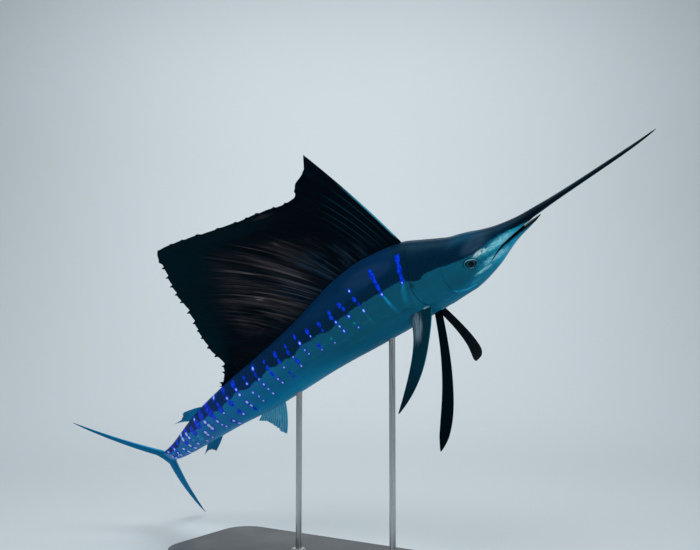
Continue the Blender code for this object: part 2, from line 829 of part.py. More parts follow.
def make_middle_fin(name, rays, outer, outward, ray_count, rows, thick, material):
    """A small fin on the middle line: rays given by foot, lean, tip distance and tip height."""
    tip_back = smooth_curve(rays, 1)
    tip_up = smooth_curve(rays, 2)
    columns = 2 * ray_count - 1
    first, last = rays[0][0], rays[-1][0]
    grid, thickness = [], []
    for i in range(columns):
        foot = first + (last - first) * i / (columns - 1)
        foot_up = outer(foot)
        is_ray = i % 2 == 0
        length = 1.0 if is_ray else FIN_WEB_LENGTH
        line, thick_line = [], []
        for k in range(rows):
            t = length * k / (rows - 1)
            s = foot + (tip_back(foot) - foot) * (0.65 * t + 0.35 * t * t)
            up = foot_up + (tip_up(foot) - foot_up) * t
            if k == 0:
                up -= outward * ROOT_SUNK
            line.append(place(s, up))
            full = thick if is_ray else thick * FIN_WEB_SHARE
            thick_line.append(full + (FIN_TIP_THICK - full) * t)
        grid.append(line)
        thickness.append(thick_line)
    mesh = bmesh.new()
    add_sheet(mesh, grid, sheet_normals(grid), thickness)
    fin = finish_mesh(name, mesh, material)
    apply_cut(fin, body_cutter())
    return fin


def make_paired_fin(name, root, blade, chord, widths, ray_count, rows, thick, material):
    """A blade from the flank or belly along a curve, with its root cut to the body."""
    forward, up_way, right_way = directions(root[0])
    origin = place(*root)

    def step(move):
        return forward * move[0] + up_way * move[1] + right_way * move[2]

    start, bend, tip = (origin + step(move) for move in blade)

    def centre_at(t):
        return start * (1.0 - t) ** 2 + bend * (2.0 * t * (1.0 - t)) + tip * t ** 2

    start_chord, end_chord = step(chord[0]).normalized(), step(chord[1]).normalized()
    width = smooth_curve(widths, 1)
    columns = 2 * ray_count - 1
    grid, thickness = [], []
    for k in range(rows):
        t = k / (rows - 1)
        centre = centre_at(t)
        ahead = (centre_at(min(t + 0.02, 1.0)) - centre_at(max(t - 0.02, 0.0))).normalized()
        across = start_chord.lerp(end_chord, t)
        across = (across - across.project(ahead)).normalized()
        line, thick_line = [], []
        for i in range(columns):
            share = i / (columns - 1)
            drift = (0.5 - share) * width(t)
            line.append(centre + across * drift)
            is_ray = i % 2 == 0
            full = thick if is_ray else thick * FIN_WEB_SHARE
            full *= 1.0 - 0.45 * share
            thick_line.append(full + (FIN_TIP_THICK - full) * t)
        grid.append(line)
        thickness.append(thick_line)
    mesh = bmesh.new()
    add_sheet(mesh, grid, sheet_normals(grid), thickness)
    fin = finish_mesh(name, mesh, material)
    apply_cut(fin, body_cutter())
    return fin


def body_cutter():
    """The head, trunk and tail stock, grown by the gap, for cutting what meets them."""
    mesh = bmesh.new()
    rings = [body_ring(s, bent=True, covered=True, inflate=GAP) for s in head_stations()]
    rings += [body_ring(s, bent=True, inflate=GAP) for s in front_stations()]
    rings += [body_ring(s, inflate=GAP) for s in rear_stations()]
    rings += [body_ring(s, inflate=GAP) for s in stock_stations()]
    add_rings(mesh, rings)
    return finish_mesh("body_cutter", mesh, None)


def make_tail_lobe(name, span, material):
    """One lobe of the forked fin tapers and sweeps back, its rays running out along it."""
    front_edge = smooth_curve(TAIL_EDGE, 1)
    rear_edge = smooth_curve(TAIL_EDGE, 2)
    columns = 2 * TAIL_RAYS - 1
    grid, thickness = [], []
    for reach in TAIL_SHARES:
        line, thick_line = [], []
        for i in range(columns):
            chord = i / (columns - 1)
            back = front_edge(reach) + (rear_edge(reach) - front_edge(reach)) * chord
            up = reach * span + math.copysign(GAP / 2.0, span)
            line.append(place(STOCK_END + GAP + back, up, TAIL_LAG * reach * reach))
            is_ray = i % 2 == 0
            full = TAIL_RAY_THICK if is_ray else TAIL_WEB_THICK
            if i == 0:
                full = TAIL_EDGE_THICK
            full *= 1.0 - 0.5 * chord
            thick_line.append(full + (FIN_TIP_THICK - full) * reach ** 0.7)
        grid.append(line)
        thickness.append(thick_line)
    mesh = bmesh.new()
    add_sheet(mesh, grid, sheet_normals(grid), thickness)
    return finish_mesh(name, mesh, material)


def turned(x, y, degrees):
    angle = math.radians(degrees)
    return x * math.cos(angle) - y * math.sin(angle), x * math.sin(angle) + y * math.cos(angle)


def make_stand_base(material):
    """A flat plate with round corners and bevelled edges."""
    outline_points = []
    corner_steps = 8
    for corner in range(4):
        cx = (STAND_LENGTH / 2.0 - STAND_CORNER) * (1 if corner in (0, 3) else -1)
        cy = (STAND_WIDTH / 2.0 - STAND_CORNER) * (1 if corner in (0, 1) else -1)
        for i in range(corner_steps + 1):
            angle = math.radians(90.0 * corner + 90.0 * i / corner_steps)
            outline_points.append((cx, cy, math.cos(angle), math.sin(angle)))
    levels = [(0.0, STAND_BEVEL / 2.0), (STAND_BEVEL / 2.0, 0.0), (STAND_THICK - STAND_BEVEL, 0.0),
              (STAND_THICK - STAND_BEVEL * 0.3, STAND_BEVEL * 0.3), (STAND_THICK, STAND_BEVEL)]
    mesh = bmesh.new()
    rings = []
    for height, inset in levels:
        ring = []
        for cx, cy, dx, dy in outline_points:
            x = cx + dx * (STAND_CORNER - inset)
            y = cy + dy * (STAND_CORNER - inset)
            ring.append(Vector((*turned(x, y, STAND_TURN), height)))
        rings.append(ring)
    add_rings(mesh, rings)
    return finish_mesh("stand_base", mesh, material)


def make_rod(name, s, material):
    """A rod from the base straight up to the belly, its top cut to the skin."""
    turns = stations(-BELLY_SEARCH, BELLY_SEARCH, BELLY_SEARCH / 48.0)
    under = min((place(s, *outline(s, math.pi + turn)) for turn in turns),
                key=lambda point: point.z)
    profile = [
        (STAND_THICK + GAP, ROD_COLLAR_RADIUS),
        (STAND_THICK + ROD_COLLAR_HEIGHT * 0.75, ROD_COLLAR_RADIUS),
        (STAND_THICK + ROD_COLLAR_HEIGHT, ROD_COLLAR_RADIUS * 0.85),
        (STAND_THICK + ROD_COLLAR_HEIGHT, ROD_RADIUS),
        (under.z + ROD_ROOT_SUNK, ROD_RADIUS),
    ]
    mesh = bmesh.new()
    rings = []
    for height, radius in profile:
        ring = []
        for i in range(ROD_SIDES):
            angle = 2.0 * math.pi * i / ROD_SIDES
            ring.append(Vector((under.x + radius * math.cos(angle),
                                under.y + radius * math.sin(angle), height)))
        rings.append(ring)
    add_rings(mesh, rings)
    rod = finish_mesh(name, mesh, material)
    apply_cut(rod, body_cutter())
    return rod


def build():
    clear_scene()
    dark_skin = make_material("dark_skin", (0.015, 0.03, 0.07), 0.35)
    silver_skin = make_material("silver_skin", (0.25, 0.42, 0.45), 0.3, 0.3)
    back_skin = make_material("banded_skin", (0.06, 0.16, 0.24), 0.3, 0.2)
    stock_skin = make_material("tail_skin", (0.08, 0.20, 0.28), 0.3, 0.2)
    sail_skin = make_material("sail_membrane", (0.01, 0.012, 0.03), 0.45)
    fin_skin = make_material("fin_membrane", (0.01, 0.02, 0.03), 0.45)
    pale_fin = make_material("pale_fin_membrane", (0.35, 0.5, 0.55), 0.4)
    eye_skin = make_material("eye_surface", (0.01, 0.015, 0.02), 0.08)
    base_paint = make_material("stand_paint", (0.02, 0.02, 0.022), 0.45)
    rod_steel = make_material("stand_steel", (0.55, 0.56, 0.57), 0.3, 1.0)

    make_bill(dark_skin)
    make_head(silver_skin)
    make_lower_jaw(silver_skin)
    make_trunk_front(back_skin)
    make_trunk_rear(back_skin)
    make_tail_stock(stock_skin)
    for name, side in (("eye_right", 1.0), ("eye_left", -1.0)):
        eye_ball(name, side, EYE_RADIUS, EYE_DEPTH_RADIUS, EYE_SUNK, eye_skin)
    make_sail(sail_skin)
    second_fin = (SECOND_FIN_RAYS, SECOND_FIN_ROWS, SECOND_FIN_THICK)
    first_anal = (FIRST_ANAL_RAYS, FIRST_ANAL_ROWS, FIRST_ANAL_THICK)
    make_middle_fin("second_dorsal_fin", SECOND_DORSAL, back_at, 1.0, *second_fin, fin_skin)
    make_middle_fin("first_anal_fin", FIRST_ANAL, belly_at, -1.0, *first_anal, pale_fin)
    make_middle_fin("second_anal_fin", SECOND_ANAL, belly_at, -1.0, *second_fin, pale_fin)

    side = flank_side(*PECTORAL_ROOT) - PECTORAL_ROOT_SUNK
    pectoral = (PECTORAL_WIDTHS, PECTORAL_RAYS, PECTORAL_ROWS, PECTORAL_THICK, fin_skin)
    make_paired_fin("pectoral_fin_right", (*PECTORAL_ROOT, side), PECTORAL_RIGHT_BLADE,
                    PECTORAL_RIGHT_CHORD, *pectoral)
    make_paired_fin("pectoral_fin_left", (*PECTORAL_ROOT, -side), PECTORAL_LEFT_BLADE,
                    PECTORAL_LEFT_CHORD, *pectoral)
    pelvic = (PELVIC_WIDTHS, PELVIC_RAYS, PELVIC_ROWS, PELVIC_THICK, fin_skin)
    make_paired_fin("pelvic_fin_right", (*PELVIC_ROOT, PELVIC_ROOT_SIDE), PELVIC_RIGHT_BLADE,
                    PELVIC_RIGHT_CHORD, *pelvic)
    make_paired_fin("pelvic_fin_left", (*PELVIC_ROOT, -PELVIC_ROOT_SIDE), PELVIC_LEFT_BLADE,
                    PELVIC_LEFT_CHORD, *pelvic)
    make_tail_lobe("tail_fin_upper", TAIL_SPAN_UP, pale_fin)
    make_tail_lobe("tail_fin_lower", TAIL_SPAN_DOWN, pale_fin)
    make_stand_base(base_paint)
    make_rod("stand_rod_front", ROD_STATIONS["front"], rod_steel)
    make_rod("stand_rod_rear", ROD_STATIONS["rear"], rod_steel)


build()
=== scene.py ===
"""The looks of the sailfish: skin, markings, eyes, fins, stand, floor, light and camera.

Lengths are in metres. Along the fish, every place is a distance back from the tip of the bill,
a height above the middle line, and a distance to the fish's right.
"""

import math
import random

import bpy
import numpy as np
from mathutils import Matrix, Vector

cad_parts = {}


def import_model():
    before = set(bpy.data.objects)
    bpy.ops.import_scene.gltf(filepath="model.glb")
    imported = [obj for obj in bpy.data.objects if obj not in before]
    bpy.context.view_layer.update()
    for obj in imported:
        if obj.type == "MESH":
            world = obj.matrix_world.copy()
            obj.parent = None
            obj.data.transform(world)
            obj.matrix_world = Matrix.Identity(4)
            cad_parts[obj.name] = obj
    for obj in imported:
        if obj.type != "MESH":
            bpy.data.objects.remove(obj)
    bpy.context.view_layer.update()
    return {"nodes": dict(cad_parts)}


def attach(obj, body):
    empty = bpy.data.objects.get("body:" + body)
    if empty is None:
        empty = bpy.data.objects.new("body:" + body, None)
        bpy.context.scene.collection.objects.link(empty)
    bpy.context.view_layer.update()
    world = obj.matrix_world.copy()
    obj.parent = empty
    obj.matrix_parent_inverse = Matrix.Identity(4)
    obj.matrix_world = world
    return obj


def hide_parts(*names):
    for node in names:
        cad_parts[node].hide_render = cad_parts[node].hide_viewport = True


# How the fish lies: distance back from the bill tip, then degrees. Yaw turns the nose towards
# the front, pitch raises it, roll leans the back over to the front.
POSE = [
    (0.00, 24.0, 33.5, 22.0),
    (0.12, 24.0, 31.0, 22.2),
    (0.60, 24.0, 30.5, 23.0),
    (0.72, 24.0, 29.0, 23.5),
    (0.84, 26.0, 26.5, 24.0),
    (1.02, 31.0, 27.0, 25.5),
    (1.32, 36.5, 29.5, 29.5),
    (1.58, 40.0, 28.5, 33.0),
    (1.77, 44.5, 28.0, 36.5),
    (2.02, 51.0, 28.0, 43.0),
    (2.16, 47.0, 24.0, 50.0),
    (2.60, 47.0, 24.0, 50.0),
]
EYE_STATION = 0.61
EYE_STATION_AT = np.array((0.40, -0.27, 1.01))
SPINE_STEP = 0.002

# The body's outline: distance back, height of the back, depth of the belly, half the width.
BODY = [
    (0.000, 0.0008, -0.0008, 0.0008),
    (0.020, 0.0017, -0.0034, 0.0025),
    (0.120, 0.0024, -0.0085, 0.0057),
    (0.250, 0.0029, -0.0113, 0.0085),
    (0.330, 0.0044, -0.0132, 0.0105),
    (0.389, 0.0074, -0.0250, 0.0131),
    (0.438, 0.0102, -0.0362, 0.0166),
    (0.480, 0.0163, -0.0462, 0.0211),
    (0.520, 0.0250, -0.0615, 0.0264),
    (0.560, 0.0385, -0.0790, 0.0320),
    (0.590, 0.0515, -0.0890, 0.0362),
    (0.620, 0.0625, -0.0975, 0.0400),
    (0.650, 0.0715, -0.1040, 0.0432),
    (0.680, 0.0860, -0.1070, 0.0458),
    (0.730, 0.1115, -0.1085, 0.0500),
    (0.780, 0.1340, -0.1092, 0.0545),
    (0.850, 0.1465, -0.1110, 0.0580),
    (0.940, 0.1530, -0.1140, 0.0600),
    (1.040, 0.1440, -0.1130, 0.0595),
    (1.140, 0.1240, -0.1090, 0.0575),
    (1.240, 0.1050, -0.1050, 0.0550),
    (1.360, 0.0920, -0.1020, 0.0520),
    (1.480, 0.0850, -0.0980, 0.0480),
    (1.600, 0.0790, -0.0880, 0.0430),
    (1.700, 0.0730, -0.0770, 0.0390),
    (1.800, 0.0650, -0.0690, 0.0340),
    (1.900, 0.0540, -0.0600, 0.0285),
    (2.000, 0.0420, -0.0490, 0.0230),
    (2.080, 0.0330, -0.0390, 0.0185),
    (2.130, 0.0290, -0.0330, 0.0140),
    (2.160, 0.0280, -0.0300, 0.0070),
]
BACK_ROUNDNESS = 1.9
BELLY_ROUNDNESS = 2.15
# Heights nearer to the back or belly than this share of the depth aren't told apart.
HIGHEST_SHARE = 0.98

# The underside of the bill and the lip of the upper jaw, then how far the lower jaw hangs open.
MOUTH = [
    (0.000, -0.0008, 0.0000),
    (0.020, -0.0034, 0.0000),
    (0.120, -0.0085, 0.0000),
    (0.250, -0.0113, 0.0010),
    (0.330, -0.0132, 0.0025),
    (0.389, -0.0160, 0.0045),
    (0.426, -0.0172, 0.0060),
    (0.463, -0.0205, 0.0066),
    (0.521, -0.0290, 0.0056),
    (0.555, -0.0395, 0.0040),
    (0.587, -0.0550, 0.0020),
    (0.605, -0.0650, 0.0010),
    (0.700, -0.0500, 0.0010),
]
JAW_TIP = 0.389
JAW_CORNER = 0.605
JAW_POINT_LENGTH = 0.045
BILL_ROUND_UNTIL = 0.36
BILL_FLAT_FROM = 0.43

GILL_STATION = 0.800
STOCK_END = 2.160

# The rear edge of the gill cover: height as a share of the half depth, and distance back.
GILL_EDGE = [
    (-1.00, -0.050),
    (-0.80, -0.012),
    (-0.60, 0.012),
    (-0.40, 0.023),
    (-0.15, 0.024),
    (0.10, 0.014),
    (0.35, 0.000),
    (0.60, -0.010),
    (1.00, -0.016),
]
GILL_BLEND = 0.11
GILL_LIFT = 0.0028
GILL_LIFT_LENGTH = 0.075
# Bands of the flank, each a share of the half depth: middle, reach and how softly it ends.
GILL_LIFT_BAND = (-0.05, 0.55, 0.40)
GILL_SHADE_BAND = (-0.15, 0.55, 0.30)

EYE_UP = -0.025
EYE_BACK = 0.635
EYE_RADIUS = 0.0210
EYE_DEPTH_RADIUS = 0.0160
EYE_SUNK = 0.0108
EYE_BULGE = 0.035
EYE_BULGE_WIDTH = 0.55

CHEEK_GROOVE = [
    (0.700, 0.030),
    (0.722, 0.004),
    (0.731, -0.027),
    (0.729, -0.056),
    (0.716, -0.076),
    (0.690, -0.088),
    (0.660, -0.090),
]
LIP_GROOVE = [
    (0.606, -0.0665),
    (0.628, -0.070),
    (0.652, -0.075),
    (0.672, -0.081),
]
# Where the line between the upper and lower half of the skin runs on behind the lip.
BEHIND_LIP = [(0.740, -0.078), (0.900, -0.040), (2.200, -0.005)]
NOSTRILS = [(0.574, -0.010, 0.0040), (0.588, -0.012, 0.0034)]

# Rays of the sail: foot on the back, degrees that it leans back there, and its tip.
SAIL = [
    (0.787, 14.0, 0.895, 0.520),
    (0.808, 15.5, 0.922, 0.480),
    (0.832, 17.0, 0.965, 0.463),
    (0.860, 18.5, 0.990, 0.431),
    (0.888, 19.5, 1.026, 0.433),
    (0.930, 21.0, 1.083, 0.451),
    (0.980, 24.0, 1.196, 0.482),
    (1.030, 31.0, 1.360, 0.546),
    (1.070, 37.0, 1.465, 0.575),
    (1.100, 41.0, 1.507, 0.505),
    (1.180, 45.0, 1.537, 0.415),
    (1.320, 47.0, 1.567, 0.297),
    (1.420, 51.0, 1.585, 0.194),
    (1.500, 49.0, 1.590, 0.153),
    (1.580, 45.0, 1.613, 0.116),
    (1.655, 25.0, 1.659, 0.087),
]
SAIL_BELLY = 0.030
SAIL_FLUTTER = 0.006
SAIL_WAVES = 3.2

# Rays of the small middle fins: foot on the body, then the distance back and height of the tip.
SECOND_DORSAL = [
    (1.800, 1.900, 0.094),
    (1.830, 1.912, 0.084),
    (1.870, 1.940, 0.078),
    (1.905, 1.985, 0.086),
]
FIRST_ANAL = [
    (1.484, 1.582, -0.199),
    (1.500, 1.590, -0.186),
    (1.530, 1.598, -0.152),
    (1.570, 1.610, -0.122),
    (1.606, 1.640, -0.100),
]
SECOND_ANAL = [
    (1.830, 1.930, -0.098),
    (1.860, 1.940, -0.086),
    (1.900, 1.965, -0.078),
    (1.935, 2.010, -0.082),
]
# The paired fins: distance back and height of the root, then for each side the start, bend and
# tip of the blade as steps forward, up and right from there, and the way that its breadth runs
# at the root and at the tip. Widths go with the share of the way to the tip.
PECTORAL_ROOT = (0.838, -0.068)
PECTORAL_ROOT_SUNK = 0.012
PECTORAL_WIDTHS = [(0.0, 0.074), (0.12, 0.064), (0.35, 0.050), (0.6, 0.044), (0.8, 0.032),
                   (0.93, 0.016), (1.0, 0.004)]
PECTORAL_BLADES = {
    "right": ([(0.0, 0.006, 0.0), (-0.040, -0.125, 0.100), (-0.170, -0.200, 0.200)],
              [(1.0, -0.28, 0.0), (1.0, -0.1, 0.2)]),
    "left": ([(0.0, 0.002, 0.0), (-0.095, -0.020, -0.110), (-0.290, -0.030, -0.090)],
             [(1.0, -0.28, 0.0), (0.35, -0.9, 0.0)]),
}
PELVIC_ROOT = (0.802, -0.098)
PELVIC_ROOT_SIDE = 0.012
PELVIC_WIDTHS = [(0.0, 0.024), (0.2, 0.027), (0.45, 0.033), (0.7, 0.038), (0.85, 0.032),
                 (0.95, 0.016), (1.0, 0.003)]
PELVIC_BLADES = {
    "right": ([(0.0, 0.0, 0.0), (-0.055, -0.225, 0.145), (-0.155, -0.320, 0.245)],
              [(1.0, -0.1, 0.0), (1.0, -0.3, 0.0)]),
    "left": ([(0.0, 0.0, 0.0), (-0.010, -0.250, -0.210), (-0.085, -0.310, -0.310)],
             [(1.0, -0.1, 0.0), (1.0, 0.1, 0.0)]),
}
# The tail fin: share of a lobe's span, then how far back its front and rear edges are.
TAIL_SPAN_UP = 0.350
TAIL_SPAN_DOWN = -0.315
TAIL_EDGE = [
    (0.00, 0.0000, 0.0440),
    (0.08, 0.0006, 0.0470),
    (0.16, 0.0200, 0.0640),
    (0.30, 0.0560, 0.0960),
    (0.50, 0.1060, 0.1370),
    (0.70, 0.1520, 0.1740),
    (0.88, 0.1920, 0.2040),
    (1.00, 0.2180, 0.2205),
]
TAIL_LAG = -0.010
TAIL_ROOT_GAP = 0.0001
KEEL_START = 2.050
KEEL_LENGTH = 0.100
KEEL_HEIGHTS = (0.010, -0.012)
KEEL_HIGH = 0.0085
KEEL_HALF_THICK = 0.0030
# A keel fades before its end, leans to the middle line, and has a broad and rounded foot.
KEEL_FADES = 1.08
KEEL_LEANS = 0.35
KEEL_FOOT = 1.3
KEEL_ROUND = 0.8

# How finely the fins and eyes are drawn, and how thick they are. A ray's shape is its height at
# shares of the way to the next ray.
RAY_SHAPE = [(0.0, 1.0), (0.06, 0.80), (0.13, 0.25), (0.22, 0.0), (0.36, 0.0), (0.5, 0.0),
             (0.64, 0.0), (0.78, 0.0), (0.87, 0.25), (0.94, 0.80)]
FIN_TIP_THICK = 0.0007
ROOT_SUNK = 0.006
FIN_CAMBER = 0.05
SAIL_RAYS = 46
SAIL_ROWS = 110
SAIL_RAY_THICK = 0.0040
SAIL_WEB_THICK = 0.0012
SAIL_EDGE_THICK = 0.0062
SAIL_CALM_UNTIL = 0.66
SAIL_CALM_TEETH = ((0.030, 0.070), 0.0055)
SAIL_TEETH = ((0.020, 0.044), 0.0180)
SAIL_TORN_REACH = 0.045
SAIL_SEED = 11
TOOTH_AT = (0.0, 0.12, 0.50, 0.84, 1.0)
TOOTH_DEEP = (0.0, 0.72, 0.80, 1.0, 0.0)
SAIL_BILLOW = 0.0016
TAIL_RAYS = 17
TAIL_ROWS = 90
TAIL_EDGE_THICK = 0.0105
TAIL_RAY_THICK = 0.0046
TAIL_WEB_THICK = 0.0026
TAIL_NOTCH = 0.06
TAIL_THINS = 0.5
TAIL_EDGE_UNTIL = 0.02
TAIL_TAPER = 0.7
# The other fins: how many rays and rows of points, and how thick the root is.
SECOND_FIN_MAKE = (10, 30, 0.0028)
FIRST_ANAL_MAKE = (14, 40, 0.0032)
PECTORAL_MAKE = (14, 90, 0.0050)
PELVIC_MAKE = (7, 90, 0.0044)
# A middle fin: depth of its notches, how a ray's reach back goes with the share of its length
# and that share squared, how far it waves and over how many radians, and its root's thickness
# in the web with what a ray adds.
MIDDLE_FIN_NOTCH = 0.09
MIDDLE_FIN_SWEEP = (0.65, 0.35)
MIDDLE_FIN_WAVE = (0.0012, 6.0)
MIDDLE_FIN_ROOT = (0.35, 0.65)
# A paired fin: depth of its notches and the length that they are a share of, its root's
# thickness in the web with what a ray adds, and how much it thins to the rear.
PAIRED_FIN_NOTCH = 0.02
PAIRED_FIN_NOTCH_LENGTH = 0.3
PAIRED_FIN_ROOT = (0.55, 0.45)
PAIRED_FIN_THINS = 0.45
EYE_RINGS = 40
EYE_SIDES = 56

# Colours of the skin. The flank's run from the belly up to the edge of the dark back.
FLANK_COLOURS = [
    (0.00, (0.006, 0.165, 0.30)),
    (0.22, (0.004, 0.135, 0.25)),
    (0.50, (0.003, 0.112, 0.195)),
    (0.80, (0.003, 0.102, 0.175)),
    (1.00, (0.003, 0.092, 0.170)),
]
# Painted glints and lighter streaks on the flank.
FLANK_GLEAM = (0.012, 0.21, 0.34)
REAR_TINT = (0.003, 0.225, 0.60)
REAR_LOW = (0.006, 0.42, 0.80)
BACK_DARK = (0.0004, 0.0165, 0.050)
# The lighter blue of a painted sheen over the top of the back.
BACK_SHEEN_BLUE = (0.0008, 0.0240, 0.080)
BACK_REAR = (0.0006, 0.0280, 0.140)
BACK_FLECK = (0.0010, 0.042, 0.110)
HEAD_DARK = (0.0004, 0.015, 0.040)
BILL_DARK = (0.0002, 0.0035, 0.011)
BAR_BLUE = (0.0004, 0.062, 1.00)
BAR_DEEP = (0.0003, 0.018, 0.55)
BAR_PALE = (0.004, 0.36, 0.70)
# A painted highlight beside the cheek groove.
CHEEK_HIGHLIGHT = (0.010, 0.55, 0.90)
SPOT_WHITE = (0.54, 0.80, 1.0)
# Painted shade round the upper part of the eye.
EYE_RING_SHADE = (0.001, 0.030, 0.055)
EYELID = (0.012, 0.16, 0.24)
EYELID_LIT = (0.45, 0.85, 0.95)
# Painted shade in the cheek groove.
CHEEK_GROOVE_SHADE = (0.002, 0.045, 0.075)
# Painted shade behind the gill cover's edge.
GILL_EDGE_SHADE = (0.0006, 0.024, 0.042)
# Painted shade in the mouth, the nostril pits and the eye sockets.
RECESS_SHADE = (0.0003, 0.006, 0.012)

# Soft patches of colour on the head and flank, the whitish ones painted highlights: middle, reach along
# each direction, colour, strength.
COLOUR_AND_HIGHLIGHT_PATCHES = [
    ((0.525, -0.0200, 0.02), (0.085, 0.0140, 0.06), (0.020, 0.36, 0.52), 0.90),
    ((0.536, -0.0175, 0.02), (0.046, 0.0095, 0.05), (0.30, 0.72, 0.84), 0.90),
    ((0.596, -0.0125, 0.03), (0.021, 0.0075, 0.05), (0.62, 0.88, 0.95), 0.95),
    ((0.500, -0.0600, 0.01), (0.130, 0.0280, 0.06), (0.012, 0.38, 0.62), 0.90),
    ((0.560, -0.0500, 0.02), (0.046, 0.0100, 0.05), (0.30, 0.74, 0.88), 0.95),
    ((0.612, -0.0630, 0.03), (0.030, 0.0050, 0.05), (0.36, 0.82, 0.92), 0.90),
    ((0.655, -0.0795, 0.03), (0.016, 0.0034, 0.05), (0.20, 0.66, 0.82), 0.70),
    ((0.620, -0.0850, 0.02), (0.070, 0.0170, 0.06), (0.008, 0.24, 0.40), 0.80),
    ((0.730, -0.0950, 0.03), (0.060, 0.0200, 0.06), (0.006, 0.19, 0.34), 0.70),
    ((0.690, -0.0450, 0.05), (0.050, 0.0260, 0.06), (0.003, 0.090, 0.150), 0.60),
    ((0.830, -0.0500, 0.04), (0.014, 0.0500, 0.06), (0.006, 0.17, 0.28), 0.60),
    ((0.821, -0.0700, 0.04), (0.009, 0.0040, 0.06), (0.60, 0.85, 0.92), 0.85),
    ((1.420, -0.0820, 0.03), (0.300, 0.0170, 0.06), (0.006, 0.26, 0.46), 0.60),
]
# Patches with more red in them than this, the painted highlights, are brushed with fine lines.
HIGHLIGHT_RED = 0.1
# Painted sheens, soft highlights over the dark back, told in the same way.
PAINTED_SHEENS = [
    ((0.592, 0.0170, 0.03), (0.046, 0.0190, 0.06), (0.030, 0.075, 0.135), 0.75),
    ((0.600, 0.0560, 0.01), (0.080, 0.0200, 0.06), (0.001, 0.060, 0.125), 0.70),
    ((0.930, 0.1080, 0.04), (0.090, 0.0240, 0.06), (0.012, 0.042, 0.120), 0.80),
    ((1.060, 0.0900, 0.04), (0.120, 0.0200, 0.06), (0.002, 0.034, 0.105), 0.70),
    ((1.705, 0.0735, 0.00), (0.036, 0.0050, 0.010), (0.010, 0.280, 0.600), 0.90),
]
# The flank's colours start this far below the middle line and run over this height.
FLANK_LOW = 0.115
FLANK_TALL = 0.155
# Soft borders in the skin's paint, each from where a colour starts to where it is full. These
# are distances back from the tip of the bill.
REAR_FROM = (1.00, 1.95)
BELLY_FROM = (1.10, 1.45)
BACK_REAR_FROM = (1.25, 1.80)
NAPE_FROM = (0.805, 0.835)
FOREHEAD_UNTIL = (0.52, 0.44)
BILL_UNTIL = (0.432, 0.424)
BILL_ALONE_UNTIL = (0.389, 0.386)
EYE_ARC_UNTIL = (0.650, 0.638)
EYE_LOW_ARC_UNTIL = (0.650, 0.642)
EYE_LOW_ARC_FROM = (0.628, 0.636)
# These are heights.
EDGE_SOFT = (-0.0022, 0.0026)
# Where the back grows lighter towards its top, as a painted sheen.
BACK_SHEEN_RISE = (0.010, 0.065)
BILL_LOWEST = (-0.0225, -0.0205)
EYE_RING_ABOVE = (-0.040, -0.018)
EYE_ARC_ABOVE = (-0.0270, -0.0205)
EYE_LOW_ARC_BELOW = (-0.0330, -0.0370)
# These are distances from the middle of the eye.
RING_OUTER = (0.0290, 0.0235)
LID_OUTER = (0.0228, 0.0205)
LID_INNER = (0.0172, 0.0186)
ARC_OUTER = (0.0215, 0.0202)
ARC_INNER = (0.0180, 0.0192)
SOCKET_EDGE = (0.0182, 0.0174)

# The colour of what the wet skin and fins reflect.
WATER_TINT = (0.30, 0.80, 1.0, 1.0)

SAIL_BLACK = (0.0003, 0.0014, 0.0040)
SAIL_BLUE = (0.0007, 0.0060, 0.0130)
SAIL_TEAL = (0.0003, 0.0100, 0.0160)
# A painted highlight along the sail's leading edge.
SAIL_LEAD_HIGHLIGHT = (0.04, 0.34, 0.50)
SAIL_LIT = (0.105, 0.088, 0.098)
SAIL_FOOT_LIT = (0.012, 0.030, 0.055)
# Painted glints along a crease of the sail.
SAIL_GLINT = (0.42, 0.36, 0.38)
SAIL_BROWN = (0.034, 0.032, 0.031)
SAIL_RAY_TEAL = (0.001, 0.040, 0.070)
# On the sail: middle along the foot and outward, then the reach of each.
SAIL_GLOW = ((0.44, 0.38, 1.0), (0.19, 0.36, 9.0))
SAIL_FOOT_GLOW = ((0.30, 0.12, 1.0), (0.20, 0.18, 9.0))
SAIL_DEEP = ((0.16, 0.50, 1.0), (0.15, 0.36, 9.0))
SAIL_WARM = ((0.190, 0.915, 1.0), (0.016, 0.030, 9.0))
SAIL_FRONT_RAYS = ((0.06, 0.38, 1.0), (0.07, 0.32, 9.0))
# A crease of painted glints: how far outward it starts, how it sinks along the foot, and its half width.
CREASE_OUT = 0.71
CREASE_SINKS = 0.75
CREASE_WIDE = 0.085
FIN_DARK = (0.0003, 0.0036, 0.0075)
FIN_DARK_EDGE = (0.0002, 0.0022, 0.0045)
FIN_DARK_RAY = (0.0004, 0.0060, 0.0110)
FIN_DARK_GLEAM = (0.0010, 0.0100, 0.0180)
PECTORAL_FOOT = (0.0010, 0.026, 0.046)
PECTORAL_TIP = (0.0004, 0.0080, 0.0160)
PECTORAL_RAY = (0.0010, 0.020, 0.034)
PECTORAL_GLEAM = (0.0020, 0.045, 0.070)
PECTORAL_SILVER = (0.16, 0.24, 0.31)
PECTORAL_SILVER_AT = ((0.72, 0.20, 1.0), (0.26, 0.15, 9.0))
PECTORAL_EDGE = (0.006, 0.20, 0.32)
FIN_PALE = (0.030, 0.42, 0.68)
FIN_PALE_EDGE = (0.012, 0.32, 0.62)
FIN_PALE_RAY = (0.55, 0.85, 0.98)
FIN_PALE_GLEAM = (0.60, 0.88, 0.96)
TAIL_FOOT = (0.003, 0.18, 0.42)
TAIL_TIP = (0.002, 0.115, 0.26)
TAIL_RAY = (0.010, 0.27, 0.52)
TAIL_GLEAM = (0.006, 0.20, 0.42)
PUPIL = (0.0006, 0.0020, 0.0040)
IRIS_DARK = (0.0008, 0.010, 0.020)
IRIS_LIGHT = (0.0030, 0.045, 0.075)
IRIS_RIM = (0.03, 0.22, 0.32)
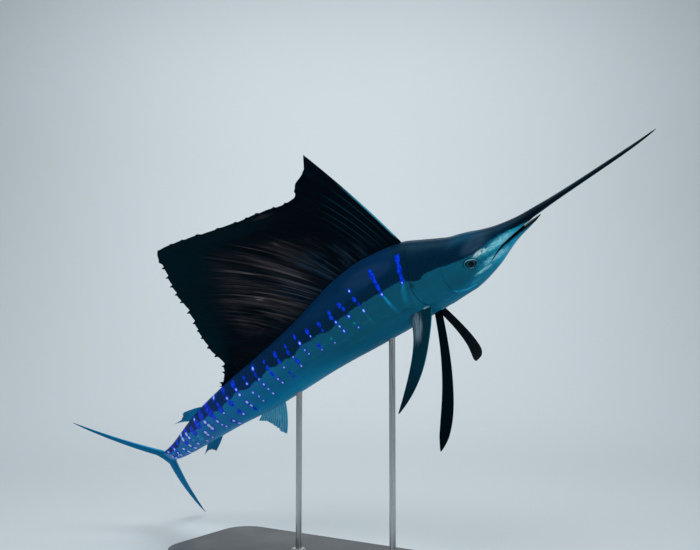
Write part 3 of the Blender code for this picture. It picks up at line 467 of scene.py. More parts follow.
# Soft borders in the eye: shares of the way from the middle of the pupil to the eye's rim.
IRIS_FROM = (0.40, 0.43)
IRIS_RIM_FROM = (0.44, 0.47)
IRIS_RIM_UNTIL = (0.52, 0.48)
EYE_DARK_FROM = (0.76, 0.84)
BASE_DARK = (0.028, 0.030, 0.033)
BASE_LIGHT = (0.038, 0.040, 0.044)
STEEL_DARK = (0.42, 0.43, 0.44)
STEEL_LIGHT = (0.60, 0.61, 0.62)

# The room: floor, backdrop, lights and the camera, which looks up a little as the photo does.
STAGE_FRONT = 40.0
STAGE_BACK = 7.5
STAGE_CURVE = 3.5
STAGE_CURVE_STEPS = 16
STAGE_WIDE = 40.0
STAGE_HIGH = 8.0
STAGE_DROP = 0.0005
STAGE_COLOUR = (0.62, 0.68, 0.71)
STAGE_SHADE = 0.97
LIGHTS = [
    ("key", (-0.9, -2.2, 3.4), (0.0, 0.0, 0.9), (2.0, 1.4), 62.0, (1.0, 0.99, 0.97)),
    ("front_fill", (2.6, -2.4, 1.6), (0.2, 0.0, 0.9), (1.6, 1.6), 14.0, (0.94, 0.98, 1.0)),
    ("above", (0.2, 0.4, 3.6), (0.0, 0.0, 0.8), (2.6, 1.6), 55.0, (0.95, 0.98, 1.0)),
    ("backdrop", (0.0, 3.6, 4.6), (0.0, 7.0, 1.6), (8.0, 1.2), 190.0, (1.0, 1.0, 1.0)),
]
WORLD_COLOUR = (0.80, 0.88, 0.92)
WORLD_STRENGTH = 0.30
CAMERA_AT = (0.0278, -2.810, 0.7541)
CAMERA_LOOKS_UP = 4.0
CAMERA_FOCUS_PX = 850.0
CAMERA_WIDTH_PX = 700.0

# The height of the edge of the dark back, and the waves that it makes along the flank.
BACK_EDGE = [
    (0.40, -0.020),
    (0.45, -0.012),
    (0.55, 0.000),
    (0.61, -0.005),
    (0.65, 0.000),
    (0.77, 0.025),
    (0.785, 0.018),
    (0.85, 0.043),
    (0.98, 0.042),
    (1.15, 0.030),
    (1.70, 0.028),
    (2.16, 0.015),
]
EDGE_WAVES = [(0.0050, 0.190), (0.0030, 0.083)]
EDGE_WAVES_FROM = 0.98
EDGE_WAVES_GROW = 0.10

# The even bars: the first and last, the step from each to the next along the fish, its stray.
BAR_FIRST = 0.990
BAR_LAST = 2.158
BAR_STEPS = [(0.99, 0.048), (1.25, 0.054), (1.65, 0.058), (1.80, 0.046), (2.16, 0.045)]
BAR_STRAY = 0.004
# How far a bar runs back for each metre that it rises, at these distances back.
BAR_SLANTS = [(0.97, 0.03), (1.06, 0.13), (2.20, 0.13)]
# The two broad bars: foot and top, each a height and a distance back, then half the widths there.
BROAD_BARS = [
    ((0.031, 0.8375), (0.115, 0.8120), (0.0050, 0.0074)),
    ((0.031, 0.9100), (0.118, 0.9080), (0.0038, 0.0068)),
]
BAR_SOFT = 0.0022
BAR_FOOT_RISE = 0.005
# How far a bar's border frays and its width swells, each with its radians per metre of height.
BAR_FRAYS = ((0.0008, 420.0), (0.0005, 900.0))
BAR_SWELL = (0.0011, 190.0)
# The pale lines that carry bars on below: height, distance back, half width and strength there.
PALE_LINES = [
    [(-0.040, 0.8640, 0.0120, 0.00), (-0.010, 0.8560, 0.0120, 0.26), (0.015, 0.8465, 0.0100, 0.30),
     (0.030, 0.8380, 0.0070, 0.45), (0.040, 0.8345, 0.0050, 0.00)],
    [(-0.060, 0.8960, 0.0080, 0.00), (-0.030, 0.9010, 0.0080, 0.20), (-0.006, 0.9050, 0.0066, 0.40),
     (0.002, 0.9060, 0.0056, 0.90), (0.030, 0.9090, 0.0036, 1.00), (0.040, 0.9100, 0.0030, 0.00)],
    [(-0.040, 0.9850, 0.0040, 0.00), (-0.010, 0.9880, 0.0032, 0.30), (0.030, 0.9920, 0.0022, 0.00)],
]
# Along the fish: heights of the highest and lowest spot of a bar, and the step between spots.
SPOT_RUNS = [
    (0.99, 0.092, -0.005, 0.024),
    (1.10, 0.058, -0.022, 0.019),
    (1.30, 0.070, -0.026, 0.022),
    (1.50, 0.066, -0.060, 0.020),
    (1.65, 0.066, -0.066, 0.022),
    (1.85, 0.058, -0.046, 0.018),
    (2.00, 0.042, -0.038, 0.017),
    (2.15, 0.022, -0.028, 0.011),
]
SPOT_MISSING = 0.15
# How far a spot is above the edge of the dark back, and the kinds that grow from there up.
SPOT_ZONES = [(0.016, "bbbbbh"), (-0.004, "bhbhh"), (-0.022, "hwwbp"), (-1.0, "wwbwwhp")]
# Each kind of spot: radius of its blue, of its white and of its pale part, strength of each.
SPOT_KINDS = {
    "b": ((0.0096, 1.0), (0.0036, 0.22), (0.0, 0.0)),
    "h": ((0.0102, 1.0), (0.0048, 0.90), (0.0, 0.0)),
    "w": ((0.0084, 0.90), (0.0047, 1.0), (0.0, 0.0)),
    "p": ((0.0, 0.0), (0.0030, 0.30), (0.0062, 0.90)),
}
SPOT_SEED = 5
SPOT_LONG = 0.72
SPOT_STRAY = 0.0034
SPOT_UNEVEN_STEP = (0.70, 1.30)
SPOT_UNEVEN_LENGTH = (0.85, 1.15)
SPOT_UNEVEN_SIZE = (0.70, 1.30)
# Spots grow and stretch along the fish from the first of these places over the second length.
SPOT_GROWS = (1.25, 0.60)
SPOT_FRONT_SIZE = 0.86
SPOT_REAR_GROWTH = 0.50
SPOT_REAR_STRETCH = 0.45
SPOT_REACH = 0.022

# How finely the skin is drawn: points over the back, in the mouth and under the belly.
ARC_UPPER = 110
ARC_MOUTH = 9
ARC_LOWER = 44
SLIT_CLOSES = 0.030
SLIT_REACH = 0.95
SLIT_THROUGH_UNTIL = 0.447
PALATE_ARCH = 0.0006
JAW_LEAST_DEPTH = 0.004
JAW_TIP_ROUND = 0.005
# At its tip the lower jaw has these shares of its width and depth. It is deep this far behind.
JAW_TIP_WIDE = 0.25
JAW_TIP_DEEP = 0.45
JAW_DEEP_BEHIND = 0.020
CREASE_DEPTH = 0.0022
CREASE_END = 0.690
GILL_GROOVE = 0.0016
GILL_GROOVE_AT = 0.03
# Painted shade just behind the gill cover's rear edge: how far behind, how wide, and how strong.
GILL_SHADE_LINE = (0.0012, 0.0022, 0.6)
# Painted shade in the notch at the top of the gill cover: distance back, height and size.
GILL_NOTCH_SHADE = (0.8160, 0.0140, 0.0052)
CHEEK_DEPTH = 0.0018
CHEEK_WIDTH = 0.0024
# How wide the painted shade along the cheek groove is.
CHEEK_SHADE_WIDE = 0.0025
# Above the first of these heights the painted shade in the cheek groove fades over the second, by a share.
CHEEK_SHADE_FADES = (-0.050, 0.040, 0.7)
# A light runs beside the line: how far off it, how wide, below what height, how softly, how far.
CHEEK_LIT_OFF = 0.001
CHEEK_LIT_WIDE = 0.0022
CHEEK_LIT_BELOW = -0.060
CHEEK_LIT_SOFT = 0.02
CHEEK_LIT_UNTIL = 0.74
CHEEK_BULGE = 0.0009
CHEEK_BULGE_WIDTH = 0.006
CHEEK_FRONT = 0.640
CHEEK_REAR = 0.731
CHEEK_LOW = -0.090
CHEEK_HIGH = 0.020
FOLD_SPACING = 0.0095
FOLD_DEPTH = 0.0005
FOLD_CURVE = 2.4
FOLD_MIDDLE = 0.70
FOLD_BELOW = -0.062
FOLD_SOFT = 0.015
LIP_HIGH = 0.0009
LIP_WIDE = 0.0045
SAIL_FOOT_HIGH = 0.0012
SAIL_FOOT_SIDE = 0.0065
SAIL_FOOT_WIDE = 0.0035
MUSCLE_SPACING = 0.021
MUSCLE_DEPTH = 0.00012
MUSCLE_SLANT = 0.35
# Where fine forms run along the fish: start, how softly they start, end, how softly they end.
FOLD_RUN = (0.640, 0.03, 0.80, 0.03)
LIP_RUN = (0.44, 0.05, 0.690, 0.06)
SAIL_FOOT_RUN = (0.775, 0.02, 1.690, 0.05)
MUSCLE_RUN = (0.86, 0.08, 2.05, 0.15)
TAIL_WEDGE_START = 2.130
TAIL_WEDGE_LENGTH = 0.045
TAIL_WEDGE_THINS = 0.97
TAIL_WEDGE_SHRINKS = 0.12
ON_FLANK = 0.004
# Rings of the skin, each a run from, to and step, and those that stand close at a form.
RING_RUNS = [
    (0.018, 0.372, 0.006),
    (0.374, JAW_TIP - 0.0005, 0.0025),
    (JAW_TIP + 0.003, GILL_STATION - 0.0012, 0.00175),
    (GILL_STATION + 0.002, TAIL_WEDGE_START + TAIL_WEDGE_LENGTH, 0.0022),
]
RINGS_AT_BILL_TIP = [0.0, 0.0006, 0.0016, 0.003, 0.005, 0.008, 0.012]
RINGS_AT_JAW_TIP = [JAW_TIP - 0.0002, JAW_TIP + 0.0001, JAW_TIP + 0.0006, JAW_TIP + 0.0016]
RINGS_AT_GILL = [GILL_STATION - 0.0008, GILL_STATION - 0.0001, GILL_STATION + 0.0006]

# The dark upper part of the lower jaw's front: distance back, and how far down it reaches.
JAW_DARK = [(0.389, -0.030), (0.440, -0.031), (0.500, -0.035), (0.560, -0.044)]
JAW_DARK_SOFT = 0.0016
JAW_DARK_FADES = (0.500, 0.045)
LID_OVAL = 1.55
LID_TURN = math.radians(24.0)
LID_HIGH = 0.0038
LID_REACH = 0.0185
LID_SOFT = 0.0062
FAR_FROM_EYE = 0.1

# The skin round the eye: distance from the eye's middle, then how far the skin stands out.
ORBIT_PROFILE = [
    (0.0000, -0.0120),
    (0.0150, -0.0100),
    (0.0168, -0.0030),
    (0.0176, -0.0006),
    (0.0188, -0.0002),
    (0.0205, -0.0012),
    (0.0235, -0.0014),
    (0.0280, -0.0004),
    (0.0320, 0.0000),
]


def smooth_curve(table, column):
    """A curve through one column of a table that never overshoots between its rows."""
    x = [row[0] for row in table]
    y = [row[column] for row in table]
    step = [x[i + 1] - x[i] for i in range(len(x) - 1)]
    slope = [(y[i + 1] - y[i]) / step[i] for i in range(len(x) - 1)]
    tangent = [slope[0]]
    for i in range(1, len(x) - 1):
        if slope[i - 1] * slope[i] <= 0.0:
            tangent.append(0.0)
        else:
            before = 2.0 * step[i] + step[i - 1]
            after = step[i] + 2.0 * step[i - 1]
            tangent.append((before + after) / (before / slope[i - 1] + after / slope[i]))
    tangent.append(slope[-1])
    x, y, step, slope, tangent = (np.array(v) for v in (x, y, step, slope, tangent))

    def value(at):
        at = np.clip(at, x[0], x[-1])
        i = np.clip(np.searchsorted(x, at, side="left") - 1, 0, len(step) - 1)
        t = (at - x[i]) / step[i]
        cubic = tangent[i] + tangent[i + 1] - 2.0 * slope[i]
        square = 3.0 * slope[i] - 2.0 * tangent[i] - tangent[i + 1]
        return y[i] + t * step[i] * (tangent[i] + t * (square + cubic * t))

    return value


def ease(t):
    """0 up to 0, 1 from 1 on, and a smooth step between."""
    t = np.clip(t, 0.0, 1.0)
    return t * t * (3.0 - 2.0 * t)


def bump(distance, width):
    """1 in the middle of a soft ridge or groove, falling to 0 on both sides of it."""
    return np.exp(-(distance / width) ** 2)


def run(s, start, soft_start, end, soft_end):
    """1 along a run of the fish, easing to 0 at its two ends."""
    return ease((s - start) / soft_start) * ease((end - s) / soft_end)


def band(height, middle, reach, soft):
    """1 within reach of a middle height, easing to 0 beyond."""
    return 1.0 - ease((np.abs(height - middle) - reach) / soft)


yaw_at = smooth_curve(POSE, 1)
pitch_at = smooth_curve(POSE, 2)
roll_at = smooth_curve(POSE, 3)
back_at = smooth_curve(BODY, 1)
belly_at = smooth_curve(BODY, 2)
width_at = smooth_curve(BODY, 3)
gape_at = smooth_curve(MOUTH, 2)
gill_edge_at = smooth_curve(GILL_EDGE, 1)
back_edge_at = smooth_curve(BACK_EDGE, 1)
lip_line_at = smooth_curve([row[:2] for row in MOUTH if row[0] < JAW_CORNER] + LIP_GROOVE + BEHIND_LIP, 1)


def directions(s):
    """The fish's own forward, up and right at each distance back."""
    s = np.asarray(s, float)
    yaw, pitch, roll = (np.radians(f(s)) for f in (yaw_at, pitch_at, roll_at))
    level = np.zeros_like(yaw)
    flat = np.stack([np.cos(yaw), -np.sin(yaw), level], -1)
    level_right = np.stack([-np.sin(yaw), -np.cos(yaw), level], -1)
    pitch, roll = pitch[..., None], roll[..., None]
    skyward = np.array((0.0, 0.0, 1.0))
    forward = flat * np.cos(pitch) + skyward * np.sin(pitch)
    level_up = skyward * np.cos(pitch) - flat * np.sin(pitch)
    up = level_up * np.cos(roll) + level_right * np.sin(roll)
    right = level_right * np.cos(roll) - level_up * np.sin(roll)
    return forward, up, right


def make_spine():
    """Distances back and the points of the middle line there, summed from its directions."""
    stations = np.arange(0.0, POSE[-1][0] + SPINE_STEP / 2.0, SPINE_STEP)
    forward = directions(stations)[0]
    points = np.zeros_like(forward)
    points[1:] = -np.cumsum(forward[:-1] + forward[1:], axis=0) * (SPINE_STEP / 2.0)
    return stations, points + EYE_STATION_AT - points[int(round(EYE_STATION / SPINE_STEP))]


SPINE_STATIONS, SPINE = make_spine()


def place(s, up, right=0.0):
    """World points at these distances back, heights and distances to the right."""
    s, up, right = np.broadcast_arrays(*(np.asarray(v, float) for v in (s, up, right)))
    origin = np.stack([np.interp(s, SPINE_STATIONS, SPINE[:, k]) for k in range(3)], -1)
    _, up_way, right_way = directions(s)
    return origin + up_way * up[..., None] + right_way * right[..., None]


def outline(s, angle):
    """Height and side distance on the skin, where the angle runs from the back round the right."""
    top, bottom, half = back_at(s), belly_at(s), width_at(s)
    middle, tall = (top + bottom) / 2.0, (top - bottom) / 2.0
    cosine, sine = np.cos(angle), np.sin(angle)
    power = np.where(cosine > 0.0, BACK_ROUNDNESS, BELLY_ROUNDNESS)
    up = np.sign(cosine) * np.abs(cosine) ** (2.0 / power)
    side = np.sign(sine) * np.abs(sine) ** (2.0 / power)
    return middle + up * tall, side * half


def profile_height(s, up, limit=1.0):
    """Height as a share of half the depth, from -1 at the belly to 1 at the back."""
    top, bottom = back_at(s), belly_at(s)
    return np.clip((up - (top + bottom) / 2.0) / ((top - bottom) / 2.0), -limit, limit)


def angle_at(s, up):
    """The angle round the body at which the skin has this height."""
    share = profile_height(s, up, HIGHEST_SHARE)
    power = np.where(share > 0.0, BACK_ROUNDNESS, BELLY_ROUNDNESS)
    return np.arccos(np.sign(share) * np.abs(share) ** (power / 2.0))


def flank_side(s, up):
    return outline(s, angle_at(s, up))[1]


def fine_stations():
    """Rings set close on the head and further apart along the body."""
    rows = RINGS_AT_BILL_TIP + RINGS_AT_JAW_TIP + RINGS_AT_GILL
    for start, end, step in RING_RUNS:
        rows = rows + list(np.arange(start, end, step))
    return np.array(sorted(rows))


def half_profile(s):
    """Height and side distance from the back, through the mouth, to the middle of the belly.

    The distances back are a grid: a row for each ring, a column for each point round it.
    """
    back, edge, low = s[:, :ARC_UPPER + 1], s[:, ARC_UPPER:ARC_UPPER + 1], s[:, -ARC_LOWER - 1:]
    share = np.linspace(0.0, 1.0, ARC_UPPER + 1)[None, :]
    upper_up, upper_side = outline(back, angle_at(back, lip_line_at(back)) * share)

    top, lip, half = back_at(edge), lip_line_at(edge), width_at(edge)
    middle, tall = (top + lip) / 2.0, (top - lip) / 2.0
    flatness = ease((edge - BILL_ROUND_UNTIL) / (BILL_FLAT_FROM - BILL_ROUND_UNTIL))
    round_up = middle + tall * np.cos(share * math.pi / 2.0)
    round_side = half * np.sin(share * math.pi / 2.0)
    upper_up = round_up + (upper_up - round_up) * flatness
    upper_side = round_side + (upper_side - round_side) * flatness
    edge_up, edge_side = upper_up[:, -1:], upper_side[:, -1:]

    open_share = 1.0 - ease((edge - (JAW_CORNER - SLIT_CLOSES)) / SLIT_CLOSES)
    deep = np.where(edge < SLIT_THROUGH_UNTIL, 0.0, 1.0 - SLIT_REACH * open_share)
    turn = np.linspace(0.0, math.pi / 2.0, ARC_MOUTH + 1)[None, :]
    palate_up = edge_up - (edge_up - lip) * np.sin(turn[:, 1:])
    palate_up = palate_up + PALATE_ARCH * open_share * flatness * np.sin(2.0 * turn[:, 1:])
    palate_side = edge_side * (deep + (1.0 - deep) * np.cos(turn[:, 1:]))
    started = np.sqrt(np.clip((edge - JAW_TIP) / JAW_TIP_ROUND, 0.0, 1.0))
    widens = ease((edge - JAW_TIP) / JAW_POINT_LENGTH)
    jaw_width = JAW_TIP_WIDE * started + (1.0 - JAW_TIP_WIDE) * widens
    jaw_width = np.where(edge < JAW_CORNER, jaw_width, 1.0)
    roof_up = lip - gape_at(edge) * open_share - PALATE_ARCH / 4.0
    roof_side = edge_side * jaw_width * (deep + (1.0 - deep) * np.sin(turn[:, :-1]))

    low_share = np.linspace(0.0, 1.0, ARC_LOWER + 1)[None, :]
    low_from = angle_at(low, lip_line_at(low))
    low_up, low_side = outline(low, low_from + (math.pi - low_from) * low_share)
    shift = np.minimum(0.0, roof_up - JAW_LEAST_DEPTH - belly_at(edge))
    deepens = ease((edge - JAW_TIP) / JAW_DEEP_BEHIND)
    taper = JAW_TIP_DEEP * started + (1.0 - JAW_TIP_DEEP) * deepens
    jaw_up = roof_up + (np.minimum(low_up + shift, roof_up) - roof_up) * taper
    low_up = np.where(edge < JAW_CORNER, jaw_up, low_up)

    roof_line = np.broadcast_to(roof_up, roof_side.shape)
    up = np.concatenate([upper_up, palate_up, roof_line, low_up], 1)
    side = np.concatenate([upper_side, palate_side, roof_side, low_side * jaw_width], 1)
    side[:, 0] = side[:, -1] = 0.0
    return up, side


def gill_lift(s, up):
    """How far the gill cover stands proud just ahead of its rear edge."""
    height = profile_height(s, up)
    ahead = (GILL_STATION + gill_edge_at(height) - s) / GILL_LIFT_LENGTH
    lift = GILL_LIFT * (1.0 - ease(ahead))
    groove = -GILL_GROOVE * bump(ahead + GILL_GROOVE_AT, GILL_GROOVE_AT)
    return np.where(ahead >= 0.0, lift, groove) * band(height, *GILL_LIFT_BAND)


def keel_height(s, up):
    """How far the two keels stand out from each side of the tail's stock."""
    keel = np.zeros_like(s)
    t = np.clip((s - KEEL_START) / KEEL_LENGTH, 0.0, 1.0)
    high = KEEL_HIGH * np.sin(math.pi * np.clip(t * KEEL_FADES, 0.0, 1.0)) ** KEEL_ROUND
    for start_up in KEEL_HEIGHTS:
        off = np.abs(up - start_up * (1.0 - KEEL_LEANS * t))
        ridge = 1.0 - off / (KEEL_HALF_THICK * KEEL_FOOT)
        keel = np.maximum(keel, high * np.clip(ridge, 0.0, 1.0) ** KEEL_ROUND)
    return keel


def line_distance(s, up, points):
    """How far each place is from a line of points on the flank."""
    near = np.full(np.shape(s), 1.0)
    for (s0, up0), (s1, up1) in zip(points, points[1:]):
        length = (s1 - s0) ** 2 + (up1 - up0) ** 2
        t = np.clip(((s - s0) * (s1 - s0) + (up - up0) * (up1 - up0)) / length, 0.0, 1.0)
        near = np.minimum(near, np.hypot(s - s0 - t * (s1 - s0), up - up0 - t * (up1 - up0)))
    return near


def skin_frame(s, up, side):
    """A point on the flank with its outward direction and the two directions along the skin."""
    here = place(s, up, side * flank_side(s, up))
    along = place(s - SPINE_STEP, up, side * flank_side(s - SPINE_STEP, up)) - here
    over = place(s, up + SPINE_STEP, side * flank_side(s, up + SPINE_STEP)) - here
    along = along / np.linalg.norm(along)
    out = np.cross(along, over)
    out = out / np.linalg.norm(out) * np.sign(out @ directions(s)[2]) * side
    over = over - along * (over @ along)
    return here, out, along, over / np.linalg.norm(over)


def grid_normals(grid, closed):
    """Unit normals of a grid of points, with its second direction closed or open."""
    down = np.gradient(grid, axis=0)
    if closed:
        over = np.roll(grid, -1, axis=1) - np.roll(grid, 1, axis=1)
    else:
        over = np.gradient(grid, axis=1)
    normals = np.cross(down, over)
    return normals / np.maximum(np.linalg.norm(normals, axis=-1, keepdims=True), 1e-12)


def triples(*values):
    """Three values for each point, as they are stored on a mesh."""
    return np.stack(np.broadcast_arrays(*values), -1).reshape(-1, 3)


def new_mesh(name, points, faces, attributes=None):
    """A smooth mesh object from points and faces, with three values stored at its points."""
    points = np.asarray(points, float)
    used = np.zeros(len(points), bool)
    for face in faces:
        used[list(face)] = True
    number = np.cumsum(used) - 1
    data = bpy.data.meshes.new(name)
    data.from_pydata(points[used].tolist(), [], [number[list(face)].tolist() for face in faces])
    data.update()
    data.polygons.foreach_set("use_smooth", [True] * len(data.polygons))
    for key, values in (attributes or {}).items():
        layer = data.attributes.new(key, "FLOAT_VECTOR", "POINT")
        layer.data.foreach_set("vector", np.asarray(values, np.float32)[used].ravel())
    item = bpy.data.objects.new(name, data)
    bpy.context.scene.collection.objects.link(item)
    return item


def dress(item, material, slot, *nodes):
    """Give a piece its material and its body, and hide the solids that it stands for; its slot is not
    used.
    """
    item.data.materials.append(material)
    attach(item, "root")
    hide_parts(*nodes)


def soft_disc(distance, radius):
    """1 inside the inner part of a disc, falling to 0 at its radius."""
    if radius == 0.0:
        return np.zeros_like(distance)
    return 1.0 - ease((distance / radius - 0.30) / 0.70)


def edge_height(s):
    """The height of the edge of the dark back, with its waves along the flank."""
    behind = s - EDGE_WAVES_FROM
    waves = sum(high * np.sin(2.0 * math.pi * behind / long) for high, long in EDGE_WAVES)
    return back_edge_at(s) + waves * ease(behind / EDGE_WAVES_GROW)


def spot_places(rng):
    """Each spot's distance back, height and kind: one at each broad bar's foot, then bar by bar."""
    places = [(foot[1], foot[0] + BAR_FOOT_RISE, "h") for foot, _, _ in BROAD_BARS]
    stations, tops, bottoms, steps = zip(*SPOT_RUNS)
    at = BAR_FIRST
    while at < BAR_LAST:
        slant = float(np.interp(at, *zip(*BAR_SLANTS)))
        step = float(np.interp(at, stations, steps))
        height = float(np.interp(at, stations, tops)) + rng.uniform(-0.5, 0.5) * step
        lowest = float(np.interp(at, stations, bottoms)) + rng.uniform(-0.5, 0.5) * step
        while height > lowest:
            above = height - float(edge_height(at))
            kind = rng.choice(next(kinds for least, kinds in SPOT_ZONES if above > least))
            if rng.random() > SPOT_MISSING:
                stray = rng.uniform(-SPOT_STRAY, SPOT_STRAY)
                places.append((at + slant * height + stray, height, kind))
            height -= step * rng.uniform(*SPOT_UNEVEN_STEP)
        at += float(np.interp(at, *zip(*BAR_STEPS))) + rng.uniform(-BAR_STRAY, BAR_STRAY)
    return places


def broad_bars(s, up):
    """How blue the two broad bars make each point."""
    blue = np.zeros_like(s)
    for number, (foot, top, halves) in enumerate(BROAD_BARS):
        shift = 2.0 * number
        share = (up - foot[0]) / (top[0] - foot[0])
        (long_fray, long_often), (short_fray, short_often) = BAR_FRAYS
        ragged = long_fray * np.sin(up * long_often + shift) + short_fray * np.sin(up * short_often)
        half = halves[0] + (halves[1] - halves[0]) * share
        half = half + BAR_SWELL[0] * np.sin(up * BAR_SWELL[1] + shift)
        half = np.where((share > 0.0) & (share < 1.0), half, -0.002)
        off = np.abs(s - foot[1] - (top[1] - foot[1]) * share) + ragged
        blue = np.maximum(blue, 1.0 - ease((off - half) / BAR_SOFT + 0.5))
    return blue


def bar_marks(s, up):
    """How blue, how white and how pale the bars and their spots make each point."""
    blue, white, pale = broad_bars(s, up), np.zeros_like(s), np.zeros_like(s)
    for shape in PALE_LINES:
        heights, stations, halves, strengths = zip(*shape)
        off = np.abs(s - np.interp(up, heights, stations))
        strength = np.interp(up, heights, strengths, left=0.0, right=0.0)
        pale = np.maximum(pale, strength * (1.0 - ease(off / np.interp(up, heights, halves) - 0.2)))
    rng = random.Random(SPOT_SEED)
    for at, height, kind in spot_places(rng):
        long = rng.uniform(*SPOT_UNEVEN_LENGTH) * SPOT_LONG
        rearward = float(ease((at - SPOT_GROWS[0]) / SPOT_GROWS[1]))
        swell = rng.uniform(*SPOT_UNEVEN_SIZE) * (SPOT_FRONT_SIZE + SPOT_REAR_GROWTH * rearward)
        near = (np.abs(s - at) < SPOT_REACH) & (np.abs(up - height) < SPOT_REACH)
        ahead = (s[near] - at) / (1.0 + SPOT_REAR_STRETCH * rearward)
        distance = np.hypot(ahead, (up[near] - height) * long)
        for marks, (radius, strength) in zip((blue, white, pale), SPOT_KINDS[kind]):
            marks[near] = np.maximum(marks[near], strength * soft_disc(distance, radius * swell))
    return blue, white, pale


def skin_faces(rows, count):
    """Faces between the rings. The jaw starts at its tip, and light shows over its front part."""
    number = np.arange(len(rows) * count).reshape(len(rows), count)
    last_palate = ARC_UPPER + ARC_MOUTH
    first_roof = last_palate + 1
    through = rows < SLIT_THROUGH_UNTIL
    for column in (last_palate, first_roof):
        number[through, count - column] = number[through, column]
    upper = list(range(last_palate)) + list(range(count - last_palate, count))
    jaw = list(range(first_roof, count - first_roof))
    web = [last_palate, count - first_roof]
    faces = []
    for columns, wanted in ((upper, rows[:-1] >= 0.0), (jaw, rows[:-1] >= JAW_TIP), (web, ~through[:-1])):
        after = [(j + 1) % count for j in columns]
        near, far = number[:-1][wanted], number[1:][wanted]
        corners = (near[:, columns], far[:, columns], far[:, after], near[:, after])
        faces += np.stack([c.ravel() for c in corners], 1).tolist()
    faces.append(list(dict.fromkeys(number[0, upper].tolist())))
    tip = int(np.argmax(rows >= JAW_TIP))
    faces.append(list(dict.fromkeys(number[tip, jaw].tolist())))
    faces.append(number[-1].tolist()[::-1])
    return faces


def skin_outline(rows):
    """Each point's distance back, height and side distance, and how far it is in the mouth."""
    columns = ARC_UPPER + 1 + 2 * ARC_MOUTH + ARC_LOWER + 1
    s = np.repeat(rows[:, None], columns, axis=1)
    up, side = half_profile(s)
    blend = 1.0 - ease(np.abs(s - GILL_STATION) / GILL_BLEND)
    s = s + blend * gill_edge_at(profile_height(s, up))
    up, side = half_profile(s)

    slit = slice(ARC_UPPER, ARC_UPPER + 2 * ARC_MOUTH + 2)
    depth = CREASE_DEPTH * (1.0 - ease((s - JAW_CORNER) / (CREASE_END - JAW_CORNER)))
    depth = depth * (s > JAW_CORNER - SLIT_CLOSES)
    crease = np.zeros_like(s)
    crease[:, slit] = np.sin(np.linspace(0.0, math.pi, slit.stop - slit.start))[None, :]
    side = np.maximum(side - depth * crease, 0.0) + gill_lift(s, up) * (side > 0.0)
    side = side + keel_height(s, up)
    ending = np.clip((s - TAIL_WEDGE_START) / TAIL_WEDGE_LENGTH, 0.0, 1.0)
    side = side * np.sqrt(1.0 - TAIL_WEDGE_THINS * ending ** 2)
    up = up * (1.0 - TAIL_WEDGE_SHRINKS * ending ** 2)

    s, up = (np.concatenate([v, v[:, -2:0:-1]], axis=1) for v in (s, up))
    side = np.concatenate([side, -side[:, -2:0:-1]], axis=1)
    in_mouth = np.zeros(s.shape)
    mouth = np.clip(3.0 * np.sin(np.linspace(0.0, math.pi, 2 * ARC_MOUTH + 2)), 0.0, 1.0)
    inside = (s[:, :1] >= JAW_TIP) & (s[:, :1] < JAW_CORNER)
    for start in (ARC_UPPER, s.shape[1] - ARC_UPPER - 2 * ARC_MOUTH - 1):
        in_mouth[:, start:start + 2 * ARC_MOUTH + 2] = mouth[None, :] * inside
    return s, up, side, in_mouth


def skin_relief(s, up, side, cheek):
    """How far cheek, folds, lip, sail's foot and muscles stand out of the plain skin."""
    on_flank = np.abs(side) > ON_FLANK
    push = -CHEEK_DEPTH * bump(cheek, CHEEK_WIDTH) * on_flank
    inside = (s < CHEEK_REAR) & (s > CHEEK_FRONT) & (up > CHEEK_LOW) & (up < CHEEK_HIGH)
    push += CHEEK_BULGE * bump(cheek - CHEEK_BULGE_WIDTH, CHEEK_BULGE_WIDTH) * inside * on_flank
    folds = np.sin(2.0 * math.pi * (up + FOLD_CURVE * (s - FOLD_MIDDLE) ** 2) / FOLD_SPACING)
    push += FOLD_DEPTH * folds * ease((FOLD_BELOW - up) / FOLD_SOFT) * run(s, *FOLD_RUN)
    push += LIP_HIGH * bump((up - lip_line_at(s) - LIP_WIDE) / LIP_WIDE, 1.0) * run(s, *LIP_RUN)
    foot = bump((np.abs(side) - SAIL_FOOT_SIDE) / SAIL_FOOT_WIDE, 1.0) * (up > 0.0)
    push += SAIL_FOOT_HIGH * foot * run(s, *SAIL_FOOT_RUN)
    ripple = np.sin(2.0 * math.pi * (s + MUSCLE_SLANT * np.abs(up)) / MUSCLE_SPACING)
    return push + MUSCLE_DEPTH * ripple * run(s, *MUSCLE_RUN)


def shape_eyes_and_nostrils(grid, side):
    """Sink the sockets and nostrils, raise the rims, and tell how near each point is to them."""
    near_eye, pit = np.full(side.shape, FAR_FROM_EYE), np.zeros(side.shape)
    for way in (1.0, -1.0):
        flank = side * way > 0.0
        here, out, along, over = skin_frame(EYE_BACK, EYE_UP, way)
        level = along * math.cos(LID_TURN) - over * math.sin(LID_TURN)
        upright = along * math.sin(LID_TURN) + over * math.cos(LID_TURN)
        ahead, above = (grid - here) @ level, (grid - here) @ upright
        reach = np.hypot(ahead, above * LID_OVAL)
        lid = LID_HIGH * bump(reach - LID_REACH, LID_SOFT) * above ** 2
        shift = np.interp(reach, *zip(*ORBIT_PROFILE)) + lid / np.maximum(ahead ** 2 + above ** 2, 1e-9)
        grid = grid + out * (shift * flank)[..., None]
        near_eye = np.where(flank, np.minimum(near_eye, reach), near_eye)
        for at, high, radius in NOSTRILS:
            here, out, along, over = skin_frame(at, high, way)
            reach = np.hypot((grid - here) @ along, ((grid - here) @ over) * 1.5)
            hole = bump(reach, radius * 0.8) * flank
            grid = grid - out * (radius * 0.9 * hole)[..., None]
            pit = np.maximum(pit, hole)
    return grid, near_eye, pit


